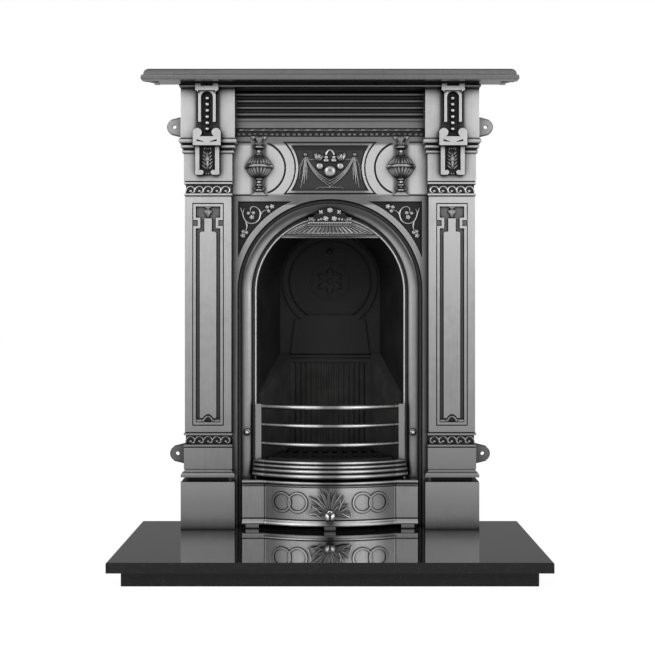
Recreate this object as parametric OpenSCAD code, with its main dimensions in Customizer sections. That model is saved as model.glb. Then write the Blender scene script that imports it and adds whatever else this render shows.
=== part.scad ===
// Cast iron combination fireplace: moulded jambs, arched front, frieze with urns,
// mantel shelf, bowed fire bars, ash cover and boxed granite hearth.
// Shapes are laid out from the wall: x to the right, "proud" = distance in front of
// the wall plane (negative behind it), z up from the floor. set_on_origin() then moves
// the whole to the middle of its footprint.

/* [Hearth] */
// Width of the stone slab
hearth_w = 838; // [780:1:900]
// Depth of the slab in front of the wall
hearth_d = 414; // [380:1:460]
// Thickness of the slab
slab_t = 20; // [15:1:30]
// Height of the stone strips under the slab
riser_h = 30; // [20:1:50]
// Thickness of the stone strips
riser_t = 20; // [15:1:30]
// How far the strips stand in from the slab's edge
riser_inset = 24; // [10:1:40]
// Chamfer along the slab's top edges
slab_arris = 1.5; // [0.5:0.5:4]

/* [Castings] */
// Usual wall of the castings
wall = 6; // [5:0.5:8]
// Thickness of the flat front plates
plate_t = 8; // [6:0.5:10]
// Gap left where two castings lie loosely against each other
seat_gap = 0.3; // [0.2:0.1:0.6]

/* [Jambs] */
// Width of a jamb's shaft
shaft_w = 100; // [94:1:112]
// How proud of the wall the shaft's face stands
shaft_p = 90; // [86:1:100]
// How far plinth and upper block stand out from the shaft, to front and sides
block_step = 8; // [5:0.5:9]
// Height of the plinth blocks
plinth_h = 102; // [90:1:120]
// Height of the shadow gap over the plinth
shadow_h = 10; // [4:1:12]
// How far the shadow gap is set back from the shaft
shadow_back = 6; // [3:0.5:8]
// Height of the base moulding
base_mould_h = 17; // [12:1:24]
// Height of the plain block over the base moulding
lower_block_h = 46; // [36:1:60]
// Height of each wave band
band_h = 33.5; // [28:0.5:40]
// Depth of the wave bands' sunk field
band_sink = 4; // [2:0.5:5]
// Height of the plain block over the upper wave band
necking_h = 59; // [46:1:64]
// Height of the three rolls of the capital
capital_h = 33; // [30:1:44]
// Height of the block that carries the corbel, with the gap under it
upper_block_h = 106; // [100:1:120]
// Width of the sunk panel in the shaft
panel_w = 63.6; // [56:0.1:70]
// Distance from the shaft's ends to the panel
panel_margin = 16; // [12:0.5:30]
// Depth of the sunk panel
panel_sink = 4; // [2:0.5:5]
// Width of the raised field inside the panel
field_w = 35.5; // [26:0.5:42]

/* [Wall lugs] */
// Distance from the middle to the upper fixing holes
upper_hole_x = 347; // [342:1:356]
// Height of the upper fixing holes
upper_hole_z = 930; // [915:1:945]
// Distance from the middle to the lower fixing holes
lower_hole_x = 340; // [336:1:350]
// Height of the lower fixing holes
lower_hole_z = 202; // [194:1:215]
// Radius of the fixing holes
lug_hole_r = 4.25; // [3:0.25:6]
// Thickness of the lugs
lug_t = 8; // [5:0.5:12]
// Radius of a lug's round end
lug_r = 17; // [13:0.5:20]

/* [Corbels] */
// Width of the corbel's body
corbel_w = 37; // [32:0.5:42]
// Width of the scrolled clip
clip_w = 59; // [50:0.5:64]
// Width of the drop panel
drop_w = 51; // [44:0.5:56]
// How proud of the wall the corbel's rails stand
corbel_p = 112; // [108:1:120]
// Height of the drop panel below the clip
drop_h = 62; // [52:1:68]

/* [Shelf] */
// Width of the mantel shelf
shelf_w = 796; // [740:1:840]
// How proud of the wall the shelf stands
shelf_p = 155; // [148:1:190]
// Height of the shelf's moulded edge
shelf_h = 26; // [20:1:30]
// Thickness of the shelf's top plate
shelf_t = 6; // [5:0.5:10]
// Height of the bed moulding's bead under the shelf
bed_h = 8; // [6:0.5:12]

/* [Frieze] */
// Height of the plain strip between the arch's mouldings and the frieze
head_strip_h = 7; // [4:0.5:12]
// Height of the bays that hold the urns and the plaque
bay_h = 111; // [98:1:116]
// Height of the plain strips above and below the leaf band
plain_strip_h = 13; // [8:0.5:16]
// How proud of the wall the frieze and the arched plate stand
plate_p = 61; // [56:1:66]
// Number of reeds in the reeded board
reeds = 4; // [3:1:6]
// Pitch of the reeds
reed_pitch = 14.55; // [12:0.05:16]
// Height of the leaf band
leaf_band_h = 19; // [12:1:22]
// Distance from each jamb to the middle of its urn
urn_inset = 58; // [54:1:62]
// Radius of the urn's ball
urn_r = 31; // [26:0.5:34]

/* [Arch] */
// Radius of the arched fire opening
opening_r = 161; // [150:1:168]
// Height of the arch's centre above the hearth
spring_h = 512; // [496:1:516]
// Width of the arch's moulded reveal
reveal_w = 41; // [38:0.5:44]
// Width of the flat strip of the plate between the arch's mouldings and the jamb
plate_strip_w = 11; // [8:1:16]
// How far the reveal runs back
reveal_d = 24; // [20:0.5:28]
// Height of the hood's lower edge above the arch's centre
hood_rise = 119; // [112:1:124]
// How proud of the wall the hood's lower edge stands
hood_p = 88; // [80:1:96]

/* [Firebox] */
// Distance of the fireback behind the wall plane
fireback_y = 150; // [140:1:170]
// Half the width of the firebox at the fireback
back_half_w = 118; // [114:1:124]
// Height of the flue opening's centre above the arch's centre
flue_rise = 28; // [20:1:32]
// Radius of the flue opening
flue_r = 100; // [92:1:104]
// Height of the grate's seat above the hearth
grate_h = 139; // [130:1:142]
// Height of the back brick
brick_h = 210; // [190:1:225]
// Distance from the back brick's ends to the fireback's sides
brick_inset = 22; // [16:1:28]
// Thickness of the back brick
brick_t = 22; // [18:1:26]
// Number of flutes in the back brick
brick_flutes = 15; // [9:2:19]
// Radius of the flue door's hinge pin
pin_r = 4; // [3:0.5:5]
// Radial play of the flue door on its pin
pin_play = 0.05; // [0.03:0.01:0.09]

/* [Fire bars] */
// Distance from the bars' ends to each side of the opening
bars_inset = 11; // [8:1:20]
// Height of the stiles
stile_h = 138; // [130:1:146]
// How far the bars bow forward
bow = 46; // [38:1:50]
// Height of the top bar
top_bar_h = 10.5; // [8:0.2:12]
// Height of the two lower bars
bar_h = 8.4; // [6:0.2:10]
// Pitch of the bars
bar_pitch = 40.7; // [36:0.1:42]
// Height of the reeded rail under the bars
rail_h = 37.5; // [32:0.5:40]
// Thickness of the bottom grate
grate_t = 10; // [8:0.5:14]
// Pitch of the bottom grate's bars
grate_pitch = 22.3; // [19:0.1:26]

/* [Ash cover] */
// Distance from the cover's ends to the outer edge of the arch's mouldings
cover_inset = 12; // [8:1:24]
// Height of the ash cover
cover_h = 105; // [96:1:108]
// How proud of the wall its flat ends stand
cover_p = 80; // [76:1:90]
// How far its face bows forward
cover_bow = 32; // [24:1:40]
// Width of its flat ends
cover_end_w = 45; // [38:1:52]
// Height of the air slot under it
air_slot_h = 8; // [4:0.5:12]
// Height of the ash pan
pan_h = 62; // [45:1:75]
// Half the width of the ash pan
pan_half_w = 94; // [80:1:98]
// Wall of the ash pan
pan_wall = 2; // [1.5:0.5:3]

/* [Hidden] */
$fn = 64;

// Heights of the jamb's stages above the floor
z_hearth = slab_t + riser_h;
z_plinth = z_hearth + plinth_h;
z_base = z_plinth + shadow_h;
z_lower_block = z_base + base_mould_h;
z_lower_band = z_lower_block + lower_block_h;
z_shaft = z_lower_band + band_h;

// Heights of the arch and of the frieze over it; the jambs end where the frieze ends
reveal_r = opening_r + reveal_w;
plate_half_w = reveal_r + plate_strip_w;
urn_x = plate_half_w - urn_inset;
bars_half_w = opening_r - bars_inset;
brick_half_w = back_half_w - brick_inset;
cover_half_w = reveal_r - cover_inset;
z_spring = z_hearth + spring_h;
z_frieze = z_spring + reveal_r + head_strip_h;
bay_z0 = z_frieze + 5;
bay_z1 = bay_z0 + bay_h;
leaf_z0 = bay_z1 + plain_strip_h;
leaf_z1 = leaf_z0 + leaf_band_h;
reed_z0 = leaf_z1 + plain_strip_h;
reed_frame_h = 9.5;
reed_board_h = reed_frame_h + reeds * reed_pitch - 1.7;
z_bed = reed_z0 + reed_board_h;
z_block = z_bed - upper_block_h;
z_capital = z_block - capital_h;
z_necking = z_capital - necking_h;
z_upper_band = z_necking - band_h;
z_shelf_lip = z_bed + bed_h;
z_top = z_shelf_lip + shelf_h;

// Places across and in front of the wall
shaft_out = plate_half_w + shaft_w;
shaft_mid = plate_half_w + shaft_w / 2;
block_p = shaft_p + block_step;
shadow_p = shaft_p - shadow_back;
band_fillet = 4;
fillet_p = shaft_p + 2;
plate_back_p = plate_p - plate_t;
// Jamb mouldings lap over the plates only in front of this line
lap_p = plate_p + 13;
// Bed moulding under the shelf, and its bead
bed_p = block_p + 3;
bead_p = bed_p + 12;
bed_half_w = shaft_out + block_step;

// Arch and firebox
reveal_p = plate_p - reveal_d;
reveal_back_p = reveal_p - 9;
z_flue = z_spring + flue_rise;
z_grate = z_hearth + grate_h;
fireback_t = 8;
firebox_front_y = -reveal_back_p;

// Flue door hinge, behind the fireback
hinge_z = z_flue - flue_r * 0.9;
ear_r = pin_r + 5;
hinge_y = fireback_y + fireback_t + ear_r + 1;
rear_reach = hinge_y + ear_r;

// Corbel
z_clip = z_block + 15.5;
z_drop = z_clip - 34;

iron = "dimgray";
dark_iron = "#2a2a2c";
bright_iron = "#8c8c8e";
granite = "#1c1d1f";
firebrick = "#3a3836";
steel = "#77797c";

// ---------------------------------------------------------------- helpers

function arc(cx, cy, r, a0, a1, n) =
    [for (i = [0:n]) let (a = a0 + (a1 - a0) * i / n) [cx + r * cos(a), cy + r * sin(a)]];

// Radius of an arc from its half chord and its rise
function arc_radius(half, rise) = (half * half + rise * rise) / (2 * rise);

// A half-round roll between two heights on a face
function roll(p, z0, z1) = arc(p, (z0 + z1) / 2, (z1 - z0) / 2, -90, 90, 8);

module set_on_origin() translate([0, (hearth_d - rear_reach) / 2, 0]) children();

// Extrudes an (x, z) outline forward between two distances from the wall
module forward(from, to)
    translate([0, -from, 0]) rotate([90, 0, 0]) linear_extrude(to - from) children();

// Extrudes a (proud, z) profile along x
module along_x(x0, x1)
    translate([x1, 0, 0]) rotate([90, 0, -90]) linear_extrude(x1 - x0) children();

// Extrudes an (x, proud) plan upwards
module upward(z0, z1)
    translate([0, 0, z0]) mirror([0, 1, 0]) linear_extrude(z1 - z0) children();

module on_left() mirror([1, 0, 0]) children();

module both_sides() {
    children();
    on_left() children();
}

// A rectangle from one corner to the other
module rect(x0, y0, x1, y1) translate([x0, y0]) square([x1 - x0, y1 - y0]);

// A plain round bar or hole along y, from one distance from the wall to another
module peg(x, z, r, from, to)
    translate([x, -from, z]) rotate([90, 0, 0]) cylinder(r = r, h = to - from);

// A hexagon head or nut whose axis is z
module hex(r, h) cylinder(r = r, h = h, $fn = 6);

// ---------------------------------------------------------------- hearth

module hearth_slab() color(granite) set_on_origin() difference() {
    upward(riser_h, z_hearth) rect(-hearth_w / 2, 0, hearth_w / 2, hearth_d);
    translate([0, -hearth_d, z_hearth]) rotate([45, 0, 0])
        cube([hearth_w + 10, slab_arris * sqrt(2), slab_arris * sqrt(2)], center = true);
    both_sides() translate([hearth_w / 2, -hearth_d / 2, z_hearth]) rotate([0, 45, 0])
        cube([slab_arris * sqrt(2), hearth_d + 10, slab_arris * sqrt(2)], center = true);
}

riser_x = hearth_w / 2 - riser_inset;
riser_front = hearth_d - riser_inset;

module riser(x0, p0, x1, p1) color(granite) set_on_origin() upward(0, riser_h) rect(x0, p0, x1, p1);

module hearth_riser_front() riser(-riser_x, riser_front - riser_t, riser_x, riser_front);
module hearth_riser_back() riser(-riser_x, 0, riser_x, riser_t);
module hearth_riser_left() riser(-riser_x, riser_t, riser_t - riser_x, riser_front - riser_t);
module hearth_riser_right() riser(riser_x - riser_t, riser_t, riser_x, riser_front - riser_t);

// ---------------------------------------------------------------- jambs

// The space that the plates between the jambs take up
module lap_clearance(z0, z1) upward(z0 - 1, z1 + 1) rect(plate_half_w - 30, -1, plate_half_w, lap_p);

module plinth() difference() {
    upward(z_hearth, z_plinth) rect(plate_half_w - block_step, 0, shaft_out + block_step, block_p);
    upward(z_hearth - 1, z_plinth - plate_t)
        rect(plate_half_w + wall, -1, shaft_out + block_step - wall, block_p - plate_t);
    lap_clearance(z_hearth, z_plinth);
}

module plinth_left() color(iron) set_on_origin() on_left() plinth();
module plinth_right() color(iron) set_on_origin() plinth();

band_groove = 2.5;
band_rim = band_groove + band_fillet;

// Face of a wave band: a groove and a fillet on each side of the sunk field
function band_edge(z) = [
    [fillet_p - 3, z], [fillet_p - 3, z + band_groove], [fillet_p, z + band_groove], [fillet_p, z + band_rim],
    [fillet_p - band_sink, z + band_rim], [fillet_p - band_sink, z + band_h - band_rim],
    [fillet_p, z + band_h - band_rim], [fillet_p, z + band_h - band_groove],
    [fillet_p - 3, z + band_h - band_groove], [fillet_p - 3, z + band_h]
];

// The three rolls of the capital, each a little prouder than the one below
low_roll_h = capital_h * 0.24;
middle_roll_h = capital_h * 0.27;
top_roll_h = capital_h * 0.38;
z_middle_roll = z_block - top_roll_h - middle_roll_h - 1;
capital_edge = concat(
    roll(fillet_p, z_capital, z_capital + low_roll_h),
    roll(fillet_p + 2, z_middle_roll, z_middle_roll + middle_roll_h),
    roll(fillet_p + 4, z_block - top_roll_h, z_block)
);

// The jamb's moulded edge, from the bottom up, as distance from the wall
jamb_edge = concat(
    [[shadow_p, z_plinth], [shadow_p, z_base], [block_p, z_base], [block_p, z_base + base_mould_h * 0.3]],
    arc(block_p + 1, z_lower_block, base_mould_h * 0.5, -110, -180, 6),
    [[fillet_p, z_lower_block], [fillet_p, z_lower_band]],
    band_edge(z_lower_band),
    [[shaft_p, z_shaft], [shaft_p, z_upper_band]],
    band_edge(z_upper_band),
    [[fillet_p, z_necking]],
    capital_edge,
    [[block_p, z_block], [block_p, z_bed]]
);

// The same edge returned round the outer and inner sides
jamb_side = concat(
    [for (q = jamb_edge) [shaft_out + q[0] - shaft_p, q[1]]],
    [for (i = [len(jamb_edge) - 1:-1:0]) [plate_half_w - (jamb_edge[i][0] - shaft_p), jamb_edge[i][1]]]
);

panel_z0 = z_shaft + panel_margin;
panel_z1 = z_upper_band - panel_margin;
rim_w = 5.2;
panel_groove = 2.2;
notch_z = panel_z1 - 41;
notch_h = 12.5;
notch_x = 22;
shoulder_z = panel_z1 - 59.5;
shoulder = 5;
neck_half_w = 7.8;
neck_top_z = panel_z1 - 31;

// The panel's face, with a square notch in each side of its head
module panel_outline(inset) difference() {
    rect(shaft_mid - panel_w / 2 + inset, panel_z0 + inset, shaft_mid + panel_w / 2 - inset, panel_z1 - inset);
    for (side = [-1, 1]) translate([shaft_mid + side * (notch_x - inset + panel_w / 2), notch_z])
        square([panel_w, notch_h + 2 * inset], center = true);
}

// What lies sunk inside the panel's rim, round its necked field
module panel_sunk() difference() {
    panel_outline(rim_w);
    hull() {
        rect(shaft_mid - field_w / 2, panel_z0 + rim_w + 9, shaft_mid + field_w / 2, shoulder_z - shoulder);
        for (side = [-1, 1]) translate([shaft_mid + side * (field_w / 2 - shoulder), shoulder_z - shoulder])
            circle(r = shoulder);
    }
    rect(shaft_mid - neck_half_w, shoulder_z - 1, shaft_mid + neck_half_w, neck_top_z);
}

// Outline of a wall lug, from inside the jamb's wall to its round end
module lug(x, z, root, inset) hull() {
    rect(shaft_out - 6, z - root + inset, shaft_out - 5, z + root - inset);
    translate([x + lug_tip, z]) square([2, 2 * (lug_nose - inset)], center = true);
    translate([x + lug_tip - lug_nose + 2, z]) square([2, 2 * (lug_r - inset)], center = true);
    translate([x, z]) circle(r = lug_r - inset);
}
lug_tip = lug_r - 4;
lug_nose = 9;
lug_step = 2.5;
// Half the height of the lugs at their roots
upper_root = 29;
lower_root = 27;

module both_lugs(inset) {
    lug(upper_hole_x, upper_hole_z, upper_root, inset);
    lug(lower_hole_x, lower_hole_z, lower_root, inset);
}

corbel_bolt_z = [z_block + 30, z_drop - drop_h / 2 + 4];
corbel_bolt_r = 4;

module jamb() difference() {
    union() {
        difference() {
            intersection() {
                along_x(plate_half_w - 30, shaft_out + 30)
                    polygon(concat([[0, z_plinth]], jamb_edge, [[0, z_bed]]));
                forward(0, block_p + 30) polygon(jamb_side);
            }
            upward(z_plinth - 1, z_bed + 1)
                rect(plate_half_w + wall, -1, shaft_out - shadow_back - wall, shadow_p - plate_t);
            forward(shaft_p - panel_sink, shaft_p + 1) panel_sunk();
            forward(shaft_p - panel_groove, shaft_p + 1) difference() {
                rect(shaft_mid - panel_w / 2 - panel_groove, panel_z0 - panel_groove,
                    shaft_mid + panel_w / 2 + panel_groove, panel_z1 + panel_groove);
                panel_outline(0);
            }
            // seat of the corbel's clip and drop panel across the capital
            forward(fillet_p, block_p + 30) {
                rect(shaft_mid - clip_w / 2, z_drop, shaft_mid + clip_w / 2, z_block + 0.01);
                rect(shaft_mid - drop_w / 2, z_capital - 1, shaft_mid + drop_w / 2, z_drop + 1);
            }
        }
        forward(0, lug_t - lug_step) both_lugs(0);
        forward(0, lug_t) both_lugs(lug_step);
    }
    peg(upper_hole_x, upper_hole_z, lug_hole_r, -1, lug_t + 1);
    peg(lower_hole_x, lower_hole_z, lug_hole_r, -1, lug_t + 1);
    lap_clearance(z_plinth, z_bed);
    for (z = corbel_bolt_z) peg(shaft_mid, z, corbel_bolt_r + 0.2, shadow_p - plate_t - 1, block_p + 30);
    frame_bolt_holes(plate_half_w - 1, plate_half_w + wall + 1);
}

module jamb_left() color(iron) set_on_origin() on_left() jamb();
module jamb_right() color(iron) set_on_origin() jamb();

// ---------------------------------------------------------------- corbels

clip_p = corbel_p + 5;
drop_p = fillet_p + 15;
base_p = block_p + 7;
base_half_w = 23.5;
slot_r = 13;
slot_z = z_bed - 21.5;
head_w = 49;
head_z = z_bed - 7;
cove = 6;
// The head stands over the bed moulding's bead, clear of it
head_p = bead_p + seat_gap;

// An outline about the corbel's middle line from its right half
module about_middle(half) translate([shaft_mid, 0]) {
    polygon(half);
    mirror([1, 0]) polygon(half);
}

// Front outline of the corbel's body, with a coved head
module corbel_front(z0, z1) about_middle(concat(
    [[0, z0], [corbel_w / 2, z0]],
    arc(corbel_w / 2 + cove, head_z - cove, cove, 180, 90, 8),
    [[head_w / 2, head_z], [head_w / 2, z1], [0, z1]]
));

scroll_r = 9.4;
scroll_x = clip_w / 2 - scroll_r;
scroll_z = z_clip - 6.6;
clip_body_h = 19;
rail_z0 = z_bed - 74;

// Front outline of the clip, with a scroll on each end and a slit under it
module clip_front() difference() {
    union() {
        rect(shaft_mid - clip_w / 2, z_drop, shaft_mid + clip_w / 2, z_drop + clip_body_h);
        for (side = [-1, 1]) translate([shaft_mid + side * scroll_x, 0]) {
            translate([0, scroll_z]) circle(r = scroll_r);
            translate([side * scroll_r / 2, (z_drop + scroll_z) / 2])
                square([scroll_r, scroll_z - z_drop], center = true);
        }
    }
    for (side = [0, 1]) translate([shaft_mid, 0]) mirror([side, 0])
        polygon([[7, z_drop + 7], [21.5, z_drop + 8.7], [21.5, z_drop + 13], [7.5, z_drop + 8.2]]);
}

// Drop panel: two rails whose feet turn in
module drop_front() about_middle([
    [drop_w / 2, z_drop], [drop_w / 2 - 8.5, z_drop], [drop_w / 2 - 8.5, z_drop - drop_h + 12],
    [drop_w * 0.32, z_drop - drop_h + 9], [drop_w * 0.24, z_drop - drop_h + 11], [drop_w * 0.16, z_drop - drop_h + 8],
    [drop_w * 0.15, z_drop - drop_h + 4], [drop_w * 0.2, z_drop - drop_h + 0.5], [drop_w * 0.27, z_drop - drop_h],
    [drop_w / 2 - 2, z_drop - drop_h], [drop_w / 2, z_drop - drop_h + 2]
]);

module corbel() difference() {
    union() {
        difference() {
            union() {
                forward(block_p, corbel_p) corbel_front(rail_z0, z_bed);
                forward(block_p, base_p) rect(shaft_mid - base_half_w, z_clip - 15, shaft_mid + base_half_w, head_z - cove);
                forward(corbel_p - 1, head_p + 3) corbel_front(head_z, z_bed);
                forward(head_p, head_p + 3) corbel_front(head_z, z_shelf_lip - seat_gap);
            }
            // round-topped slot that holds the row of beads, and a notch between the head's ears
            forward(block_p + 3, corbel_p + 20) {
                rect(shaft_mid - slot_r, z_block - 1, shaft_mid + slot_r, slot_z);
                translate([shaft_mid, slot_z]) circle(r = slot_r);
                rect(shaft_mid - slot_r, z_bed + bed_h * 0.3, shaft_mid + slot_r, z_shelf_lip);
            }
        }
        forward(fillet_p, clip_p) difference() {
            clip_front();
            rect(0, z_block, shaft_out + 30, z_bed);
        }
        forward(block_p, clip_p) intersection() {
            clip_front();
            rect(0, z_block, shaft_out + 30, z_bed);
        }
        forward(fillet_p, drop_p) drop_front();
        forward(fillet_p, fillet_p + 6) rect(shaft_mid - drop_w / 2 + 6, z_drop - drop_h + 4,
            shaft_mid + drop_w / 2 - 6, z_drop);
        // the beads hang in the slot, each fused to its floor
        for (i = [0:5]) translate([shaft_mid, -(block_p + 5.5), z_bed - 22 - 13.3 * i]) sphere(r = 5.4);
    }
    for (z = corbel_bolt_z) peg(shaft_mid, z, corbel_bolt_r + 0.2, 0, fillet_p + 11);
}

module corbel_left() color(iron) set_on_origin() on_left() corbel();
module corbel_right() color(iron) set_on_origin() corbel();

// Bolts from inside the jamb into the corbels
module corbel_bolts() color(steel) set_on_origin() both_sides() for (z = corbel_bolt_z) {
    head_p = shadow_p - plate_t;
    peg(shaft_mid, z, corbel_bolt_r, head_p - 1, fillet_p + 10);
    translate([shaft_mid, -(head_p - 6), z]) rotate([90, 0, 0]) hex(8, 6);
}

// ---------------------------------------------------------------- arched plate

// Section of the reveal, as radius from the arch's middle line and distance from the wall:
// a quirk inside the flat strip, a broad falling roll and a bead at the opening
quirk_w = reveal_w * 0.215;
quirk_p = plate_p - 11;
roll_x = reveal_r - quirk_w;
roll_w = reveal_w * 0.54;
roll_p = plate_p - 5;
roll_fall = 8;
bead_r = 2.6;
bead_x = opening_r + bead_r + 0.3;
reveal_section = concat(
    [[reveal_r + 4, plate_back_p], [reveal_r + 4, plate_p], [reveal_r, plate_p],
        [reveal_r - 1.5, quirk_p], [roll_x + 0.8, quirk_p], [roll_x, roll_p - 1]],
    [for (i = [1:9]) [roll_x - roll_w * sin(10 * i), roll_p - roll_fall + roll_fall * cos(10 * i)]],
    [[roll_x - roll_w, reveal_p + 1]],
    arc(bead_x, reveal_p + 1, bead_r, 0, 180, 8),
    [[opening_r, reveal_p], [opening_r, reveal_back_p], [opening_r + 18, reveal_back_p],
        [reveal_r - 6, quirk_p - 4.8], [reveal_r + 4, quirk_p - 4.4]]
);

// The arch's outline: a half circle on straight legs
module arch_outline(r, z0, zc = z_spring) {
    translate([0, zc]) circle(r = r, $fn = 128);
    rect(-r, z0, r, zc);
}

knob_x = opening_r + reveal_w * 0.49;
knob_z = z_grate + 66;
knob_pin_r = 3;
knob_seat_p = roll_p + 0.5;

module arch_plate() color(iron) set_on_origin() difference() {
    union() {
        forward(plate_back_p, plate_p) difference() {
            rect(-plate_half_w, z_hearth, plate_half_w, z_frieze);
            intersection() {
                arch_outline(reveal_r, z_hearth - 1);
                rect(-reveal_r - 1, z_hearth - 2, reveal_r + 1, z_frieze + 100);
            }
        }
        both_sides() upward(z_hearth, z_spring) polygon(reveal_section);
        translate([0, 0, z_spring]) rotate([90, 0, 0])
            rotate_extrude(angle = 180, $fn = 128) polygon(reveal_section);
        both_sides() side_flange(z_base, z_frieze);
        // bosses that seat the knobs
        both_sides() peg(knob_x, knob_z, 7.5, roll_p - roll_fall - 3, knob_seat_p);
    }
    // spandrel panels, sunk between the arch's band and a square corner
    both_sides() forward(plate_p - 3, plate_p + 1) difference() {
        rect(opening_r * 0.45, z_spring + 60, plate_half_w - 12, z_frieze - 12);
        translate([0, z_spring]) circle(r = reveal_r + 12, $fn = 128);
    }
    both_sides() peg(knob_x, knob_z, knob_pin_r + 0.1, reveal_back_p + 4, plate_p);
    both_sides() frame_bolt_holes(plate_half_w - plate_t - 1, plate_half_w + 1);
    for (a = firebox_bolt_angles) firebox_bolt_at(a) peg(0, 0, 4.2, reveal_back_p - 1, reveal_back_p + 7);
    both_sides() for (z = firebox_bolt_z) peg(firebox_bolt_r, z, 4.2, reveal_back_p - 1, reveal_back_p + 7);
}

// Flange behind a plate's edge, bolted to the jamb beside it
flange_d = 32;
module side_flange(z0, z1)
    upward(z0, z1) rect(plate_half_w - plate_t, plate_back_p - flange_d, plate_half_w, plate_back_p + 1);

frame_bolt_p = plate_back_p - flange_d / 2;
frame_bolt_drop = 50;
frame_bolt_z = [z_lower_band, (z_lower_band + z_frieze) / 2, z_frieze - frame_bolt_drop, (z_frieze + z_bed) / 2];
frame_bolt_r = 4;

module frame_bolt_holes(x0, x1) for (z = frame_bolt_z)
    translate([x0, -frame_bolt_p, z]) rotate([0, 90, 0]) cylinder(r = frame_bolt_r + 0.2, h = x1 - x0);

// Bolts that clamp the plates' flanges to the jambs, with their nuts
module frame_bolts() color(steel) set_on_origin() both_sides() for (z = frame_bolt_z)
    translate([plate_half_w, -frame_bolt_p, z]) rotate([0, 90, 0]) {
        translate([0, 0, -plate_t - 12]) cylinder(r = frame_bolt_r, h = plate_t + wall + 12 + 5);
        translate([0, 0, -plate_t - 6.5]) hex(7.5, 6.5);
        translate([0, 0, wall]) hex(7.5, 5.5);
    }

// Turned knobs on the reveal, one each side of the bars
module bar_knobs() color(bright_iron) set_on_origin() both_sides() {
    peg(knob_x, knob_z, knob_pin_r, reveal_back_p + 4.3, knob_seat_p);
    translate([knob_x, -knob_seat_p, knob_z]) rotate([90, 0, 0]) rotate_extrude()
        polygon(concat([[0, 0], [6.5, 0], [6.5, 1.5], [3.5, 3]], arc(0, 8, 5.5, -55, 90, 10)));
}

// ---------------------------------------------------------------- frieze

reed_r = reed_pitch * 0.29;
reed_floor_p = plate_p - 4;
reed_face_p = plate_p + 3;
reed_end_x = plate_half_w - 3.5;
reed_end_w = 5;
board_z0 = reed_z0 + 2.5;
board_z1 = z_bed - 1.2;
bay_z = (bay_z0 + bay_z1) / 2;
ring_r = bay_h * 0.495;
ring_groove = 4.5;
plaque_r = ring_r + 26;
plaque_rim = 4.5;
groove_p = plate_p - 2.5;
plaque_p = plate_p - 3;

// A reed: half-round bar across the board
module reed(z) along_x(-reed_end_x, reed_end_x)
    polygon(concat([[reed_floor_p - 1, z - reed_r]], roll(reed_face_p - reed_r + 1, z - reed_r, z + reed_r),
        [[reed_floor_p - 1, z + reed_r]]));

dashes = 16;
dash_pitch = (2 * plate_half_w - 38) / dashes;

// Concave-sided plaque between the two bays
module plaque(inset) difference() {
    rect(-urn_x + 50 + inset, bay_z0 + 1.5 + inset, urn_x - 50 - inset, bay_z1 - 1.5 - inset);
    for (side = [-1, 1]) translate([side * urn_x, bay_z]) circle(r = plaque_r + inset, $fn = 128);
}

module frieze_panel() color(iron) set_on_origin() {
    difference() {
        union() {
            forward(plate_back_p, plate_p) rect(-plate_half_w, z_frieze, plate_half_w, z_bed);
            forward(plate_p - 1, plate_p + 1.5) difference() {
                plaque(0);
                plaque(plaque_rim);
            }
            both_sides() side_flange(z_frieze, z_bed);
        }
        // the reeded board's sunk floor and the leaf band's channel
        forward(reed_floor_p, plate_p + 1) rect(-plate_half_w - 1, board_z0, plate_half_w + 1, z_bed + 1);
        forward(plate_p - 2, plate_p + 1) rect(-plate_half_w + 6, leaf_z0, plate_half_w - 6, leaf_z1);
        forward(plaque_p, plate_p + 2) plaque(plaque_rim);
        forward(groove_p, plate_p + 1) difference() {
            plaque(-3.5);
            plaque(0);
        }
        both_sides() {
            // groove round each urn, on the plaque's side
            forward(groove_p, plate_p + 1) difference() {
                intersection() {
                    translate([urn_x, bay_z]) circle(r = ring_r + ring_groove, $fn = 128);
                    rect(0, bay_z0 + 1, urn_x - 18, bay_z1 - 1);
                }
                translate([urn_x, bay_z]) circle(r = ring_r, $fn = 128);
            }
            // lines that bound the bay at its foot and head
            forward(groove_p, plate_p + 1) {
                rect(urn_x + 18, z_frieze - 1, plate_half_w + 1, z_frieze + 3);
                rect(urn_x + 18, bay_z1, plate_half_w + 1, bay_z1 + 2.5);
            }
            frame_bolt_holes(plate_half_w - plate_t - 1, plate_half_w + 1);
        }
    }
    for (i = [0:reeds - 1]) reed(reed_z0 + reed_frame_h + reed_pitch * (i + 0.5));
    forward(reed_floor_p - 1, reed_face_p) {
        rect(-reed_end_x, board_z0, reed_end_x, board_z0 + 4.5);
        both_sides() rect(reed_end_x - reed_end_w, board_z0, reed_end_x, board_z1);
    }
    // slanting dashes along the top of the leaf band
    for (i = [1:dashes]) translate([(i - dashes / 2 - 0.5) * dash_pitch, -(plate_p - 1), leaf_z1 - 4.5])
        rotate([0, 94, 0]) cylinder(r = 2.2, h = dash_pitch * 0.78, center = true, $fn = 16);
}

// Urn profile from the foot up, as radius and height from the ball's middle
urn_z = bay_z + 2.5;
urn_foot = urn_z - z_frieze - 4;
urn_top = leaf_z0 - urn_z - 1;
urn_profile = concat(
    [[0, -urn_foot], [13, -urn_foot], [13, -urn_foot + 4], [8, -urn_foot + 7], [5, -urn_foot + 14],
        [5, -urn_r - 6], [8, -urn_r - 4], [8, -urn_r]],
    [for (i = [-4:-1]) urn_side(i)],
    [[urn_r, -1.2], [urn_r, 1.2]],
    [for (i = [1:4]) urn_side(i)],
    [[8, urn_r], [8, urn_r + 3], [5, urn_r + 5], [5, urn_r + 10]],
    arc(18, urn_top - 16, 13, 180, 115, 5),
    [[15, urn_top - 2], [6, urn_top], [0, urn_top]]
);

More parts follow.
